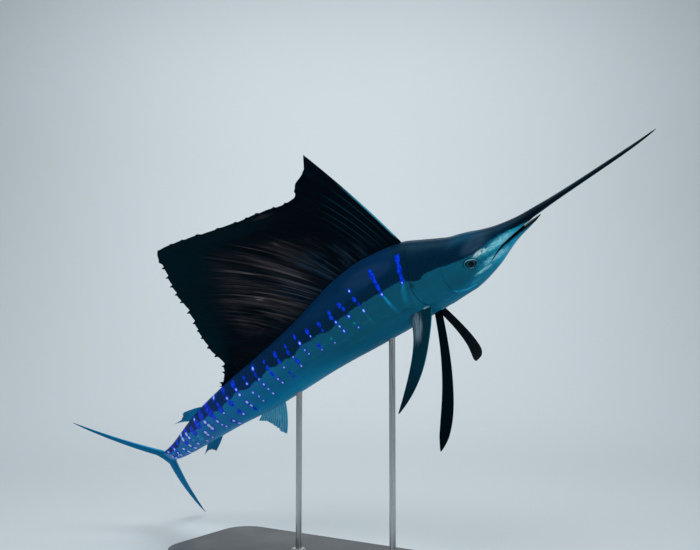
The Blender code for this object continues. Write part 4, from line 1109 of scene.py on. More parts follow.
def make_skin(material):
    """One skin from the tip of the bill to the fork of the tail, with the mouth open in it."""
    rows = fine_stations()
    s, up, side, in_mouth = skin_outline(rows)
    cheek = line_distance(s, up, CHEEK_GROOVE)
    grid = place(s, up, side)
    grid = grid + grid_normals(grid, True) * skin_relief(s, up, side, cheek)[..., None]
    grid, near_eye, pit = shape_eyes_and_nostrils(grid, side)

    height = profile_height(s, up)
    behind = s - GILL_STATION - gill_edge_at(height)
    # Painted shade cast just behind the gill cover's edge and into the notch at its top.
    gill_shade = GILL_SHADE_LINE[2] * bump(behind - GILL_SHADE_LINE[0], GILL_SHADE_LINE[1]) * band(height, *GILL_SHADE_BAND)
    notch = np.hypot(s - GILL_NOTCH_SHADE[0], (up - GILL_NOTCH_SHADE[1]) * 0.6)
    gill_shade = np.maximum(gill_shade, bump(notch, GILL_NOTCH_SHADE[2]))
    # Painted shade along the cheek groove; beside it, a painted highlight.
    fades_from, fades_over, fades_by = CHEEK_SHADE_FADES
    cheek_shade = bump(cheek, CHEEK_SHADE_WIDE) * (1.0 - fades_by * ease((up - fades_from) / fades_over))
    cheek_lit = bump(cheek - CHEEK_LIT_OFF, CHEEK_LIT_WIDE) * ease((CHEEK_LIT_BELOW - up) / CHEEK_LIT_SOFT)
    cheek_lit = cheek_lit * (s < CHEEK_LIT_UNTIL)
    jaw = (s >= JAW_TIP) & (up < lip_line_at(s) - 0.5 * gape_at(s))
    jaw_dark = ease((up - np.interp(s, *zip(*JAW_DARK))) / JAW_DARK_SOFT) * jaw
    jaw_dark = jaw_dark * (1.0 - ease((s - JAW_DARK_FADES[0]) / JAW_DARK_FADES[1]))
    values = {
        "fish": triples(s, up, np.abs(side)),
        "marks": triples(*bar_marks(s, up)),
        "places": triples(up - edge_height(s), in_mouth, jaw_dark),
        "face": triples(near_eye, cheek_shade, pit),
        "lines": triples(cheek_lit, gill_shade, height),
    }
    skin = new_mesh("skin", grid.reshape(-1, 3), skin_faces(rows, s.shape[1]), values)
    dress(skin, material, "banded_skin", "bill", "head", "lower_jaw", "trunk_front", "trunk_rear",
          "tail_stock")


def make_sheet(name, grid, root, t, across, crest, taper=1.0):
    """A thin closed sheet over a grid of points, from its root's thickness to a thin tip."""
    thickness = root + (FIN_TIP_THICK - root) * t ** taper
    rows, columns = thickness.shape
    half = grid_normals(grid, False) * (thickness / 2.0)[..., None]
    points = np.concatenate([(grid + half).reshape(-1, 3), (grid - half).reshape(-1, 3)])
    index = np.arange(rows * columns).reshape(rows, columns)
    corners = [index[:-1, :-1], index[1:, :-1], index[1:, 1:], index[:-1, 1:]]
    front = np.stack([c.ravel() for c in corners], 1)
    shift = rows * columns
    back = front[:, ::-1] + shift
    border = np.concatenate([index[0, :-1], index[:-1, -1], index[-1, :0:-1], index[:0:-1, 0]])
    after = np.roll(border, -1)
    rim = np.stack([border, after, after + shift, border + shift], 1)
    values = triples(across[None, :], t, crest[None, :])
    return new_mesh(name, points, np.concatenate([front, back, rim]).tolist(),
                    {"fin": np.concatenate([values, values])})


def ray_columns(count):
    """Places along a fin's foot, close together at each ray, with the ray's height at each."""
    places, crest = [], []
    for i in range(count - 1):
        for offset, high in RAY_SHAPE:
            places.append((i + offset) / (count - 1))
            crest.append(high)
    return np.array(places + [1.0]), np.array(crest + [1.0])


def notches(places, count, depth, rng):
    """How much shorter the web is between the rays, uneven from one gap to the next."""
    at = places * (count - 1)
    gap = np.minimum(at.astype(int), count - 2)
    deep = np.array([rng.uniform(0.25, 1.0) for _ in range(count - 1)])[gap]
    lean = np.array([rng.uniform(0.3, 0.7) for _ in range(count - 1)])[gap]
    inside = at - gap
    shape = np.where(inside < lean, inside / lean, (1.0 - inside) / (1.0 - lean))
    return depth * deep * np.clip(shape, 0.0, 1.0) ** 0.6


def sail_margin(places, tip_back, tip_up, rng):
    """How far back and up the torn edge lies from the sail's outline: a row of uneven thorns."""
    along = np.concatenate([[0.0], np.cumsum(np.hypot(np.diff(tip_back), np.diff(tip_up)))])
    short = np.zeros_like(along)
    start, last = 0, len(along) - 1
    while start < last:
        gaps, deepest = SAIL_CALM_TEETH if along[start] < SAIL_CALM_UNTIL else SAIL_TEETH
        end = int(np.searchsorted(along, along[start] + rng.uniform(*gaps)))
        end = min(max(end, start + 3), last)
        x = (along - along[start]) / (along[end] - along[start])
        tooth = rng.uniform(0.5, 1.0) * deepest * np.interp(x, TOOTH_AT, TOOTH_DEEP)
        short = np.where((x > 0.0) & (x < 1.0), tooth, short)
        start = end
    short = short * ease((places - 0.01) / 0.03)
    inward_back, inward_up = -np.gradient(tip_up, along), np.gradient(tip_back, along)
    return -inward_back * short, -inward_up * short


def sail_point(foot, t):
    """Where a ray of the sail runs: its foot, a middle that leans back, and its tip."""
    lean, tip_back, tip_up = (smooth_curve(SAIL, k)(foot) for k in (1, 2, 3))
    foot_up = back_at(foot)
    reach = 0.5 * np.hypot(tip_back - foot, tip_up - foot_up)
    mid_back = foot + reach * np.sin(np.radians(lean))
    mid_up = foot_up + reach * np.cos(np.radians(lean))
    s = (1 - t) ** 2 * foot + 2 * t * (1 - t) * mid_back + t * t * tip_back
    up = (1 - t) ** 2 * foot_up + 2 * t * (1 - t) * mid_up + t * t * tip_up
    return s, up


def make_sail(material):
    """The raised sail, its web billowing between the rays and torn along its margin."""
    places, crest = ray_columns(SAIL_RAYS)
    first, last = SAIL[0][0], SAIL[-1][0]
    foot = (first + (last - first) * places)[None, :]
    tip_back, tip_up = smooth_curve(SAIL, 2)(foot[0]), smooth_curve(SAIL, 3)(foot[0])
    ray_length = np.hypot(tip_back - foot[0], tip_up - back_at(foot[0]))
    torn_back, torn_up = sail_margin(places, tip_back, tip_up, random.Random(SAIL_SEED))
    t = np.linspace(0.0, 1.0, SAIL_ROWS)[:, None] * np.ones_like(foot)
    s, up = sail_point(np.broadcast_to(foot, t.shape), t)
    near_edge = ease((t - 1.0) * ray_length / SAIL_TORN_REACH + 1.0)
    s = s + torn_back * near_edge
    up = up + torn_up * near_edge - ROOT_SUNK * (t == 0.0)
    share = places[None, :]
    swell = -SAIL_BELLY * np.sin(math.pi * t) * np.sin(math.pi * share) ** 0.5
    flutter = SAIL_FLUTTER * t * t * np.sin(2.0 * math.pi * share * SAIL_WAVES)
    within = share * (SAIL_RAYS - 1) % 1.0
    billow = SAIL_BILLOW * np.sin(math.pi * within) * np.sin(math.pi * t) ** 0.7
    grid = place(s, up, swell + flutter + billow)
    ray = SAIL_RAY_THICK + (SAIL_EDGE_THICK - SAIL_RAY_THICK) * (share < 0.002)
    root = SAIL_WEB_THICK + (ray - SAIL_WEB_THICK) * crest[None, :]
    dress(make_sheet("sail_fine", grid, root, t, places, crest), material, "sail_membrane", "sail")


def make_middle_fin(kind, rays, foot_at, outward, count, rows, thick, material):
    """A small fin on the middle line, its web notched between the rays."""
    node = kind + "_fin"
    places, crest = ray_columns(count)
    foot = (rays[0][0] + (rays[-1][0] - rays[0][0]) * places)[None, :]
    notched = notches(places, count, MIDDLE_FIN_NOTCH, random.Random(node))
    t = np.linspace(0.0, 1.0, rows)[:, None] * (1.0 - notched)[None, :]
    tip_back, tip_up = smooth_curve(rays, 1)(foot), smooth_curve(rays, 2)(foot)
    even, swept = MIDDLE_FIN_SWEEP
    s = foot + (tip_back - foot) * (even * t + swept * t * t)
    up = foot_at(foot) + (tip_up - foot_at(foot)) * t - outward * ROOT_SUNK * (t == 0.0)
    wave, radians = MIDDLE_FIN_WAVE
    grid = place(s, up, wave * np.sin(radians * places)[None, :] * t)
    web, ray = MIDDLE_FIN_ROOT
    root = thick * (web + ray * crest[None, :])
    item = make_sheet(kind + "_fine", grid, root, t, places, crest)
    dress(item, material, "pale_fin_membrane", node)


def make_paired_fin(kind, side, root, blade, chord, widths, count, rows, thick, material):
    """A blade along a curve, its rays running out from a root sunk in the body."""
    node = kind + "_fin_" + side
    frame_ways = np.stack(directions(root[0]))
    start, bend, tip = place(*root) + np.array(blade) @ frame_ways
    chords = np.array(chord) @ frame_ways
    chords = chords / np.linalg.norm(chords, axis=1, keepdims=True)
    places, crest = ray_columns(count)
    t = np.linspace(0.0, 1.0, rows)[:, None]
    centre = start * (1.0 - t) ** 2 + bend * (2.0 * t * (1.0 - t)) + tip * t ** 2
    ahead = np.gradient(centre, axis=0)
    ahead = ahead / np.linalg.norm(ahead, axis=1, keepdims=True)
    across = chords[0] * (1.0 - t) + chords[1] * t
    across = across - ahead * np.sum(across * ahead, axis=1, keepdims=True)
    across = across / np.linalg.norm(across, axis=1, keepdims=True)
    out = np.cross(ahead, across)
    width = smooth_curve(widths, 1)(t) * np.ones_like(places)[None, :]
    ragged = notches(places, count, PAIRED_FIN_NOTCH, random.Random(node))[None, :] * t ** 3
    drift = (0.5 - places)[None, :] * width
    camber = FIN_CAMBER * width * (1.0 - (2.0 * places - 1.0) ** 2)[None, :]
    grid = centre[:, None, :] + across[:, None, :] * drift[..., None]
    shorter = (ragged * PAIRED_FIN_NOTCH_LENGTH)[..., None]
    grid = grid + out[:, None, :] * camber[..., None] - ahead[:, None, :] * shorter
    web, ray = PAIRED_FIN_ROOT
    body = (thick * (web + ray * crest) * (1.0 - PAIRED_FIN_THINS * places))[None, :]
    item = make_sheet(kind + "_" + side + "_fine", grid, body, t, places, crest)
    dress(item, material, "dark_fin_membrane", node)


def make_tail_lobe(side, span, material):
    """One lobe of the forked tail, its rays running out along it and thick at the front edge."""
    node = "tail_fin_" + side
    places, crest = ray_columns(TAIL_RAYS)
    reach = np.linspace(0.0, 1.0, TAIL_ROWS)[:, None]
    front, rear = smooth_curve(TAIL_EDGE, 1)(reach), smooth_curve(TAIL_EDGE, 2)(reach)
    ragged = TAIL_NOTCH * notches(places, TAIL_RAYS, 1.0, random.Random(node))
    back = front + (rear - front) * (places * (1.0 - ragged))[None, :]
    up = reach * span + math.copysign(TAIL_ROOT_GAP, span)
    grid = place(STOCK_END + back, up, TAIL_LAG * reach * reach)
    body = TAIL_WEB_THICK + (TAIL_RAY_THICK - TAIL_WEB_THICK) * crest
    body = np.where(places < TAIL_EDGE_UNTIL, TAIL_EDGE_THICK, body)
    body = (body * (1.0 - TAIL_THINS * places))[None, :]
    item = make_sheet("tail_" + side + "_fine", grid, body, reach, places, crest, TAIL_TAPER)
    dress(item, material, "pale_fin_membrane", node)


def make_eye(side, way, material):
    """A slightly flattened ball with a clear bulge over the iris."""
    here, out, along, over = skin_frame(EYE_BACK, EYE_UP, way)
    polar = np.linspace(0.0, math.pi, EYE_RINGS + 1)[:, None]
    turn = np.linspace(0.0, 2.0 * math.pi, EYE_SIDES, endpoint=False)[None, :]
    polar, turn = np.broadcast_arrays(polar, turn)
    bulge = 1.0 + EYE_BULGE * bump(polar, EYE_BULGE_WIDTH)
    grid = (here - out * EYE_SUNK
            + out * (EYE_DEPTH_RADIUS * np.cos(polar) * bulge)[..., None]
            + along * (EYE_RADIUS * np.sin(polar) * np.cos(turn))[..., None]
            + over * (EYE_RADIUS * np.sin(polar) * np.sin(turn))[..., None])
    index = np.arange(grid.shape[0] * EYE_SIDES).reshape(-1, EYE_SIDES)
    after = np.roll(index, -1, axis=1)
    quads = np.stack([index[:-1], index[1:], after[1:], after[:-1]], -1).reshape(-1, 4)
    if way < 0.0:
        quads = quads[:, ::-1]
    values = {"eye": triples(np.sin(polar), turn, polar)}
    item = new_mesh("eye_" + side + "_fine", grid.reshape(-1, 3), quads.tolist(), values)
    dress(item, material, "eye_surface", "eye_" + side)


class Value:
    """A number, vector or colour in a material, so that sums of them are written as sums."""

    def __init__(self, paint, socket):
        self.paint = paint
        self.socket = socket

    def __add__(self, other):
        return self.paint.calc("ADD", self, other)

    def __sub__(self, other):
        return self.paint.calc("SUBTRACT", self, other)

    def __rsub__(self, other):
        return self.paint.calc("SUBTRACT", other, self)

    def __mul__(self, other):
        return self.paint.calc("MULTIPLY", self, other)

    def __abs__(self):
        return self.paint.calc("ABSOLUTE", self)

    def most(self, other):
        return self.paint.calc("MAXIMUM", self, other)

    def step(self, low, high, at_low=0.0, at_high=1.0):
        """A smooth step from one value to another as this one goes from low to high."""
        ends = {0: self, 1: low, 2: high, 3: at_low, 4: at_high}
        return self.paint.node("ShaderNodeMapRange", ends, interpolation_type="SMOOTHSTEP")


class Paint:
    """A material being built, with short names for the nodes that it uses."""

    def __init__(self, name, **sockets):
        self.material = bpy.data.materials.new(name)
        self.material.use_nodes = True
        self.tree = self.material.node_tree
        self.shader = self.tree.nodes["Principled BSDF"]
        self.colour = None
        for key, value in sockets.items():
            self.shader.inputs[key.replace("_", " ")].default_value = value

    def feed(self, socket, value):
        if isinstance(value, Value):
            self.tree.links.new(value.socket, socket)
        elif isinstance(value, tuple):
            socket.default_value = (*value, 1.0) if len(socket.default_value) == 4 else value
        else:
            socket.default_value = value

    def node(self, kind, inputs, output=0, **settings):
        """Add a node with these settings and inputs, and give one of its outputs."""
        node = self.tree.nodes.new(kind)
        for key, value in settings.items():
            setattr(node, key, value)
        for key, value in inputs.items():
            self.feed(node.inputs[key], value)
        return Value(self, node.outputs[output])

    def calc(self, operation, *values, clamp=False):
        return self.node("ShaderNodeMath", dict(enumerate(values)), operation=operation, use_clamp=clamp)

    def vector(self, operation, first, second, output=0):
        return self.node("ShaderNodeVectorMath", {0: first, 1: second}, output, operation=operation)

    def joined(self, *values):
        return self.node("ShaderNodeCombineXYZ", dict(enumerate(values)))

    def mix(self, share, first, second):
        return self.node("ShaderNodeMix", {0: share, 6: first, 7: second}, 2, data_type="RGBA")

    def lay(self, tint, share):
        """Lay one more colour over what is there, by this share."""
        self.colour = self.mix(share, self.colour, tint)

    def stored(self, name):
        """The three numbers kept at each point of the mesh under this name, as one and singly."""
        whole = self.node("ShaderNodeAttribute", {}, "Vector", attribute_name=name)
        first = self.node("ShaderNodeSeparateXYZ", {0: whole})
        return (whole, *(Value(self, socket) for socket in first.socket.node.outputs))

    def on_object(self):
        """Places in the object's own space."""
        return self.node("ShaderNodeTexCoord", {}, "Object")

    def noise(self, vector, scale, detail=3.0, rough=0.55):
        settings = {"Vector": self.vector("MULTIPLY", vector, scale), "Scale": 1.0, "Detail": detail,
                    "Roughness": rough}
        return self.node("ShaderNodeTexNoise", settings, "Fac")

    def ramp(self, value, stops):
        colours = self.node("ShaderNodeValToRGB", {0: value})
        line = colours.socket.node.color_ramp
        line.interpolation = "EASE"
        while len(line.elements) < len(stops):
            line.elements.new(0.5)
        for element, (at, colour) in zip(line.elements, stops):
            element.position = at
            element.color = (*colour, 1.0)
        return colours

    def patch(self, vector, centre, reach, edge_noise):
        """A soft patch: 1 in its middle and 0 beyond its reach along each direction."""
        scaled = self.vector("DIVIDE", self.vector("SUBTRACT", vector, centre), reach)
        distance = self.vector("LENGTH", scaled, (0.0, 0.0, 0.0), "Value")
        return (distance + edge_noise * 0.5).step(0.45, 1.35, 1.0, 0.0)

    def relief(self, height, depth, strength):
        settings = {"Height": height, "Distance": depth, "Strength": strength}
        self.feed(self.shader.inputs["Normal"], self.node("ShaderNodeBump", settings, "Normal"))

    def finish(self, roughness):
        self.feed(self.shader.inputs["Base Color"], self.colour)
        self.feed(self.shader.inputs["Roughness"], roughness)
        return self.material


def back_colour(paint, fish, s, edge, broad, streak):
    """The dark back: blue-black, bluer to the rear, painted lighter towards its top as a sheen, with soft
    painted highlights and flecks.
    """
    # The back is painted lighter towards its top, a painted sheen.
    sheen_rise = (edge + broad * 0.05).step(*BACK_SHEEN_RISE)
    back = paint.mix(sheen_rise, BACK_DARK, BACK_SHEEN_BLUE)
    back = paint.mix(s.step(*BACK_REAR_FROM), back, BACK_REAR)
    back = paint.mix(s.step(*NAPE_FROM), HEAD_DARK, back)
    # Soft painted highlights over the back.
    for centre, reach, tint, strength in PAINTED_SHEENS:
        share = paint.patch(fish, centre, reach, broad * 2.5) * strength
        back = paint.mix(share * streak.step(-0.25, 0.25, 0.6, 1.0), back, tint)
    dapple = paint.noise(fish, (150.0, 260.0, 260.0), 3.0, 0.65)
    return paint.mix(dapple.step(0.52, 0.72, 0.0, 0.45), back, BACK_FLECK)


def lay_round_the_eye(paint, s, up, near_eye):
    """A ring of painted shade round the upper eye, a lighter rim with painted highlight arcs over and
    under the eye, and the socket painted dark as shade.
    """
    # Painted shade round the upper part of the eye.
    paint.lay(EYE_RING_SHADE, near_eye.step(*RING_OUTER) * up.step(*EYE_RING_ABOVE) * 0.75)
    paint.lay(EYELID, near_eye.step(*LID_OUTER) * near_eye.step(*LID_INNER) * 0.85)
    over_eye = up.step(*EYE_ARC_ABOVE) * s.step(*EYE_ARC_UNTIL)
    under_eye = up.step(*EYE_LOW_ARC_BELOW) * s.step(*EYE_LOW_ARC_UNTIL) * s.step(*EYE_LOW_ARC_FROM)
    arc = near_eye.step(*ARC_OUTER) * near_eye.step(*ARC_INNER)
    paint.lay(EYELID_LIT, arc * over_eye.most(under_eye * 0.7) * 0.9)
    # The socket painted dark as shade.
    paint.lay(RECESS_SHADE, near_eye.step(*SOCKET_EDGE))


def skin_paint():
    """Dark back, teal flank, pale jaws, and bars of blue and white spots."""
    paint = Paint("fish_skin", Specular_IOR_Level=0.10, Coat_Roughness=0.16, Specular_Tint=WATER_TINT)
    fish, s, up, side = paint.stored("fish")
    _, blue, white, pale = paint.stored("marks")
    _, edge, in_mouth, jaw_dark = paint.stored("places")
    _, near_eye, cheek_shade, pit = paint.stored("face")
    _, cheek_lit, gill_shade, _ = paint.stored("lines")
    broad = paint.noise(fish, (9.0, 26.0, 26.0), 2.0) - 0.5
    streak = paint.noise(fish, (16.0, 120.0, 120.0)) - 0.5
    ragged = paint.noise(fish, (95.0, 150.0, 150.0)) - 0.5
    frayed = paint.noise(fish, (260.0, 320.0, 320.0), 3.0, 0.65) - 0.5
    fine = paint.noise(fish, (260.0, 900.0, 900.0), 2.0)

    low = up + broad * 0.030 + streak * 0.012 + FLANK_LOW
    level = paint.calc("DIVIDE", low, FLANK_TALL, clamp=True)
    paint.colour = paint.ramp(level, FLANK_COLOURS)
    paint.lay(REAR_TINT, s.step(*REAR_FROM) * 0.85)
    paint.lay(REAR_LOW, s.step(*BELLY_FROM) * level.step(0.62, 0.05) * 0.75)
    # Painted glints and lighter streaks laid over the flank.
    paint.lay(FLANK_GLEAM, streak.step(0.02, 0.30) * 0.40)
    glint = paint.noise(fish, (130.0, 620.0, 620.0), 2.0, 0.6)
    paint.lay(FLANK_GLEAM, glint.step(0.60, 0.74) * 0.30)
    brushed = paint.noise(paint.joined(s + up, up, side), (85.0, 420.0, 300.0), 4.0, 0.65)
    # Patches of colour; the whitish ones are painted highlights.
    for centre, reach, tint, strength in COLOUR_AND_HIGHLIGHT_PATCHES:
        mask = paint.patch(fish, centre, reach, broad * 1.2 + ragged * 1.8)
        if tint[0] > HIGHLIGHT_RED:
            mask = mask * brushed.step(0.40, 0.58, 0.25, 1.0)
        paint.lay(tint, mask * strength)

    dark = (edge + ragged * 0.010 + frayed * 0.012).step(*EDGE_SOFT)
    paint.lay(back_colour(paint, fish, s, edge, broad, streak), dark)
    at_bill = s.step(*BILL_UNTIL)
    bill = (s + up * 2.0).step(*FOREHEAD_UNTIL).most(at_bill) * dark.most(at_bill)
    bill = (bill * up.step(*BILL_LOWEST)).most(jaw_dark).most(s.step(*BILL_ALONE_UNTIL))
    paint.lay(BILL_DARK, bill)

    # Painted shade behind the gill cover's edge.
    paint.lay(GILL_EDGE_SHADE, gill_shade * 0.9 * (1.0 - dark))
    # Painted shade in the cheek groove.
    paint.lay(CHEEK_GROOVE_SHADE, cheek_shade * 0.35)
    # A painted highlight beside the cheek groove.
    paint.lay(CHEEK_HIGHLIGHT, cheek_lit * 0.75)
    lay_round_the_eye(paint, s, up, near_eye)

    paint.lay(BAR_PALE, pale)
    blotch = paint.noise(fish, (120.0, 120.0, 120.0), 2.0)
    bar_blue = paint.mix(blotch.step(0.36, 0.62), BAR_DEEP, BAR_BLUE)
    paint.lay(bar_blue, (blue + ragged * 0.55 * blue).step(0.12, 0.72))
    paint.lay(SPOT_WHITE, white.step(0.12, 0.90))
    # The mouth's inside and the nostril pits painted dark as shade.
    paint.lay(RECESS_SHADE, pit.most(in_mouth))

    paint.feed(paint.shader.inputs["Coat Weight"], (1.0 - dark.most(bill)) * 0.05)
    paint.relief(fine * 0.5 + streak, 0.0006, 0.5)
    return paint.finish(streak.step(-0.3, 0.3, 0.30, 0.46))


def fin_paint(name, foot, edge, ray, gleam, rough=0.46, shine=0.05):
    """A membrane that pales or darkens to its edge, with rays of another colour."""
    paint = Paint(name, Specular_IOR_Level=shine, Specular_Tint=WATER_TINT)
    fin, across, out, crest = paint.stored("fin")
    grain = paint.noise(fin, (34.0, 3.0, 1.0))
    mottle = paint.noise(fin, (9.0, 7.0, 1.0), 2.0) - 0.5
    fibre = paint.noise(fin, (420.0, 5.0, 1.0), 2.0)
    paint.colour = paint.mix((out + mottle * 0.4).step(0.45, 1.0), foot, edge)
    paint.lay(ray, crest.step(0.3, 1.0) * 0.75)
    # Streaks of painted glint along the grain.
    paint.lay(gleam, grain.step(0.52, 0.72) * 0.5)
    if name == "pectoral_skin":
        silver = paint.patch(fin, *PECTORAL_SILVER_AT, mottle * 2.5)
        paint.lay(PECTORAL_SILVER, silver * grain.step(0.38, 0.60, 0.35, 1.0))
        paint.lay(PECTORAL_EDGE, across.step(0.06, 0.01) * out.step(0.85, 0.45) * 0.8)
    paint.relief(crest * 0.6 + fibre, 0.0005, 0.6)
    return paint.finish(grain.step(0.3, 0.7, rough - 0.06, rough + 0.10))


def sail_paint():
    """Nearly black, with painted light on brownish folds across the middle, painted glints along a crease,
    a painted highlight on the leading edge, and a teal margin.
    """
    paint = Paint("sail_skin", Specular_IOR_Level=0.05, Specular_Tint=WATER_TINT)
    fin, across, out, crest = paint.stored("fin")
    broad = paint.noise(fin, (5.0, 4.0, 1.0), 2.0) - 0.5
    grain = paint.noise(fin, (64.0, 3.2, 1.0))
    folds = paint.noise(fin, (26.0, 1.6, 1.0), 2.0)
    fibre = paint.noise(fin, (900.0, 6.0, 1.0), 2.0)
    wrinkle = paint.noise(fin, (45.0, 40.0, 1.0), 2.0)
    on_ray = crest.step(-0.2, 0.9, 0.35, 1.0)
    outward = out + broad * 0.35
    rearward = across + broad * 0.20
    paint.colour = paint.mix(grain.step(0.45, 0.75), SAIL_BLACK, SAIL_BLUE)
    paint.lay(SAIL_TEAL, outward.step(0.50, 0.95) * rearward.step(0.08, 0.30) * 0.9)
    paint.lay(SAIL_BLACK, paint.patch(fin, *SAIL_DEEP, broad) * 0.85)
    paint.lay(SAIL_RAY_TEAL, paint.patch(fin, *SAIL_FRONT_RAYS, broad) * crest.step(0.3, 1.0) * 0.7)
    # Painted light on the rays near the sail's foot.
    foot_light = paint.patch(fin, *SAIL_FOOT_GLOW, broad) * on_ray
    paint.lay(SAIL_FOOT_LIT, foot_light * grain.step(0.42, 0.60) * 0.9)
    # Painted light on brownish folds across the middle of the sail.
    glow = paint.patch(fin, *SAIL_GLOW, broad) * outward.step(0.95, 0.35)
    lit = folds.step(0.36, 0.62) * grain.step(0.36, 0.62, 0.25, 1.0) * glow * on_ray
    paint.lay(SAIL_LIT, lit * 0.95)
    # Painted glints along a crease across the lit middle of the sail.
    near_crease = abs(out - (CREASE_OUT - across * CREASE_SINKS))
    spark = near_crease.step(CREASE_WIDE, 0.0) * grain.step(0.55, 0.70)
    paint.lay(SAIL_GLINT, spark * glow * folds.step(0.46, 0.60) * 0.8)
    warm = paint.patch(fin, *SAIL_WARM, broad * 2.0)
    paint.lay(SAIL_BROWN, warm * grain.step(0.35, 0.6, 0.3, 0.9))
    # A painted highlight along the sail's leading edge.
    lead_highlight = across.step(0.006, 0.001) * out.step(0.02, 0.12) * out.step(0.72, 0.42)
    paint.lay(SAIL_LEAD_HIGHLIGHT, lead_highlight * 0.85)
    paint.relief(fibre * 0.6 + wrinkle * 0.5 + folds, 0.0012, 0.7)
    return paint.finish(grain.step(0.3, 0.7, 0.42, 0.60))


def eye_paint():
    """A wide dark pupil, a streaked slate iris and a bright rim."""
    paint = Paint("eye_glass", Coat_Weight=0.12, Coat_Roughness=0.05, Specular_IOR_Level=0.10,
                  Specular_Tint=WATER_TINT, Coat_Tint=WATER_TINT)
    _, away, turn, _ = paint.stored("eye")
    fan = paint.noise(paint.joined(away, turn, 0.0), (2.0, 14.0, 1.0))
    iris = paint.mix(fan.step(0.35, 0.65), IRIS_DARK, IRIS_LIGHT)
    paint.colour = paint.mix(away.step(*IRIS_FROM), PUPIL, iris)
    paint.lay(IRIS_RIM, away.step(*IRIS_RIM_FROM) * away.step(*IRIS_RIM_UNTIL) * 0.6)
    paint.lay(PUPIL, away.step(*EYE_DARK_FROM))
    paint.relief(fan, 0.0002, 0.3)
    return paint.finish(fan.step(0.3, 0.7, 0.12, 0.2))


def base_paint():
    """Satin dark paint on board."""
    paint = Paint("base_paint", Coat_Weight=0.2, Coat_Roughness=0.25)
    cloud = paint.noise(paint.on_object(), (5.0, 5.0, 5.0))
    paint.colour = paint.mix(cloud.step(0.35, 0.65), BASE_DARK, BASE_LIGHT)
    paint.relief(paint.noise(paint.on_object(), (420.0, 420.0, 420.0), 2.0), 0.0004, 0.35)
    return paint.finish(cloud.step(0.3, 0.7, 0.40, 0.52))


def rod_paint():
    """Steel brushed along the rods."""
    paint = Paint("rod_steel", Metallic=1.0)
    brush = paint.noise(paint.on_object(), (900.0, 900.0, 9.0))
    paint.colour = paint.mix(brush.step(0.3, 0.7), STEEL_DARK, STEEL_LIGHT)
    paint.relief(brush, 0.0002, 0.4)
    return paint.finish(brush.step(0.3, 0.7, 0.22, 0.36))


def stage_paint():
    """A pale matt paint with faint clouds."""
    paint = Paint("stage_pale")
    cloud = paint.noise(paint.on_object(), (0.7, 0.7, 0.7), 2.0)
    paint.colour = paint.mix(cloud, tuple(v * STAGE_SHADE for v in STAGE_COLOUR), STAGE_COLOUR)
    return paint.finish(0.75)


def make_stage():
    """A pale floor that curves up into a plain backdrop."""
    profile = [(-STAGE_FRONT, 0.0), (STAGE_BACK - STAGE_CURVE, 0.0)]
    for i in range(1, STAGE_CURVE_STEPS + 1):
        angle = math.pi / 2.0 * i / STAGE_CURVE_STEPS
        profile.append((STAGE_BACK - STAGE_CURVE + STAGE_CURVE * math.sin(angle),
                        STAGE_CURVE * (1.0 - math.cos(angle))))
    profile.append((STAGE_BACK, STAGE_HIGH))
    points, count = [], len(profile)
    for x in (-STAGE_WIDE, STAGE_WIDE):
        points += [(x, y, z - STAGE_DROP) for y, z in profile]
    faces = [(i, count + i, count + i + 1, i + 1) for i in range(count - 1)]
    stage = new_mesh("floor_and_backdrop", points, faces)
    stage.data.materials.append(stage_paint())


def add_light(name, place_at, aim, size, power, colour):
    data = bpy.data.lights.new(name, "AREA")
    data.shape = "RECTANGLE"
    data.size, data.size_y = size
    data.energy = power
    data.color = colour
    item = bpy.data.objects.new(name, data)
    item.location = place_at
    item.rotation_euler = (Vector(aim) - Vector(place_at)).to_track_quat("-Z", "Y").to_euler()
    item.visible_camera = False
    bpy.context.scene.collection.objects.link(item)


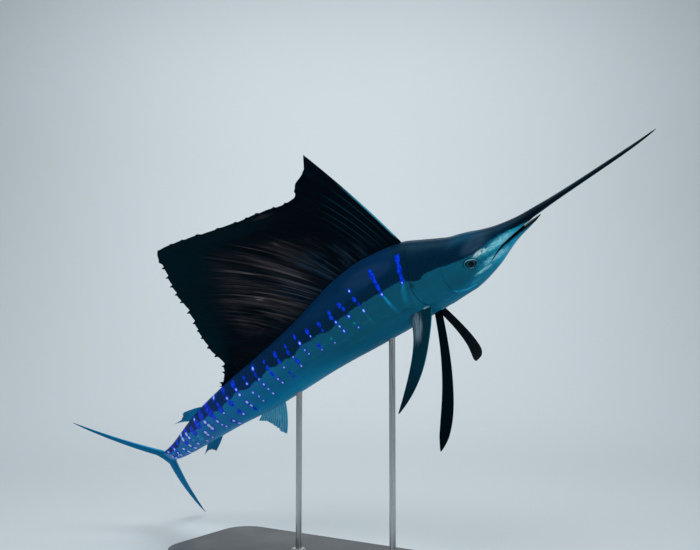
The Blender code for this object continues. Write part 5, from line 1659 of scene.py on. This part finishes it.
def add_lights_and_camera():
    for light in LIGHTS:
        add_light(*light)
    world = bpy.data.worlds.new("soft_room")
    world.use_nodes = True
    sky = world.node_tree.nodes["Background"]
    sky.inputs["Color"].default_value = (*WORLD_COLOUR, 1.0)
    sky.inputs["Strength"].default_value = WORLD_STRENGTH
    bpy.context.scene.world = world
    bpy.context.scene.view_settings.view_transform = "Standard"
    data = bpy.data.cameras.new("camera")
    data.sensor_width = 36.0
    data.lens = CAMERA_FOCUS_PX / CAMERA_WIDTH_PX * data.sensor_width
    camera = bpy.data.objects.new("camera", data)
    camera.location = CAMERA_AT
    camera.rotation_euler = (math.radians(90.0 + CAMERA_LOOKS_UP), 0.0, 0.0)
    bpy.context.scene.collection.objects.link(camera)
    bpy.context.scene.camera = camera


def main():
    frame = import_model()

    skin = skin_paint()
    sail = sail_paint()
    dark_fin = fin_paint("dark_fin_skin", FIN_DARK, FIN_DARK_EDGE, FIN_DARK_RAY, FIN_DARK_GLEAM,
                         rough=0.60, shine=0.02)
    pectoral = fin_paint("pectoral_skin", PECTORAL_FOOT, PECTORAL_TIP, PECTORAL_RAY, PECTORAL_GLEAM)
    pale_fin = fin_paint("pale_fin_skin", FIN_PALE, FIN_PALE_EDGE, FIN_PALE_RAY, FIN_PALE_GLEAM)
    tail_fin = fin_paint("tail_fin_skin", TAIL_FOOT, TAIL_TIP, TAIL_RAY, TAIL_GLEAM)
    eye = eye_paint()

    make_skin(skin)
    make_sail(sail)
    make_middle_fin("second_dorsal", SECOND_DORSAL, back_at, 1.0, *SECOND_FIN_MAKE, tail_fin)
    make_middle_fin("first_anal", FIRST_ANAL, belly_at, -1.0, *FIRST_ANAL_MAKE, pale_fin)
    make_middle_fin("second_anal", SECOND_ANAL, belly_at, -1.0, *SECOND_FIN_MAKE, tail_fin)
    sides = (("right", 1.0), ("left", -1.0))
    off_middle = float(flank_side(*PECTORAL_ROOT)) - PECTORAL_ROOT_SUNK
    for side, way in sides:
        make_paired_fin("pectoral", side, (*PECTORAL_ROOT, way * off_middle), *PECTORAL_BLADES[side],
                        PECTORAL_WIDTHS, *PECTORAL_MAKE, pectoral)
    for side, way in sides:
        make_paired_fin("pelvic", side, (*PELVIC_ROOT, way * PELVIC_ROOT_SIDE), *PELVIC_BLADES[side],
                        PELVIC_WIDTHS, *PELVIC_MAKE, dark_fin)
    make_tail_lobe("upper", TAIL_SPAN_UP, tail_fin)
    make_tail_lobe("lower", TAIL_SPAN_DOWN, tail_fin)
    for side, way in sides:
        make_eye(side, way, eye)

    base, rod = base_paint(), rod_paint()
    for name, material in (("stand_base", base), ("stand_rod_front", rod), ("stand_rod_rear", rod)):
        frame["nodes"][name].data.materials[0] = material

    make_stage()
    add_lights_and_camera()


main()
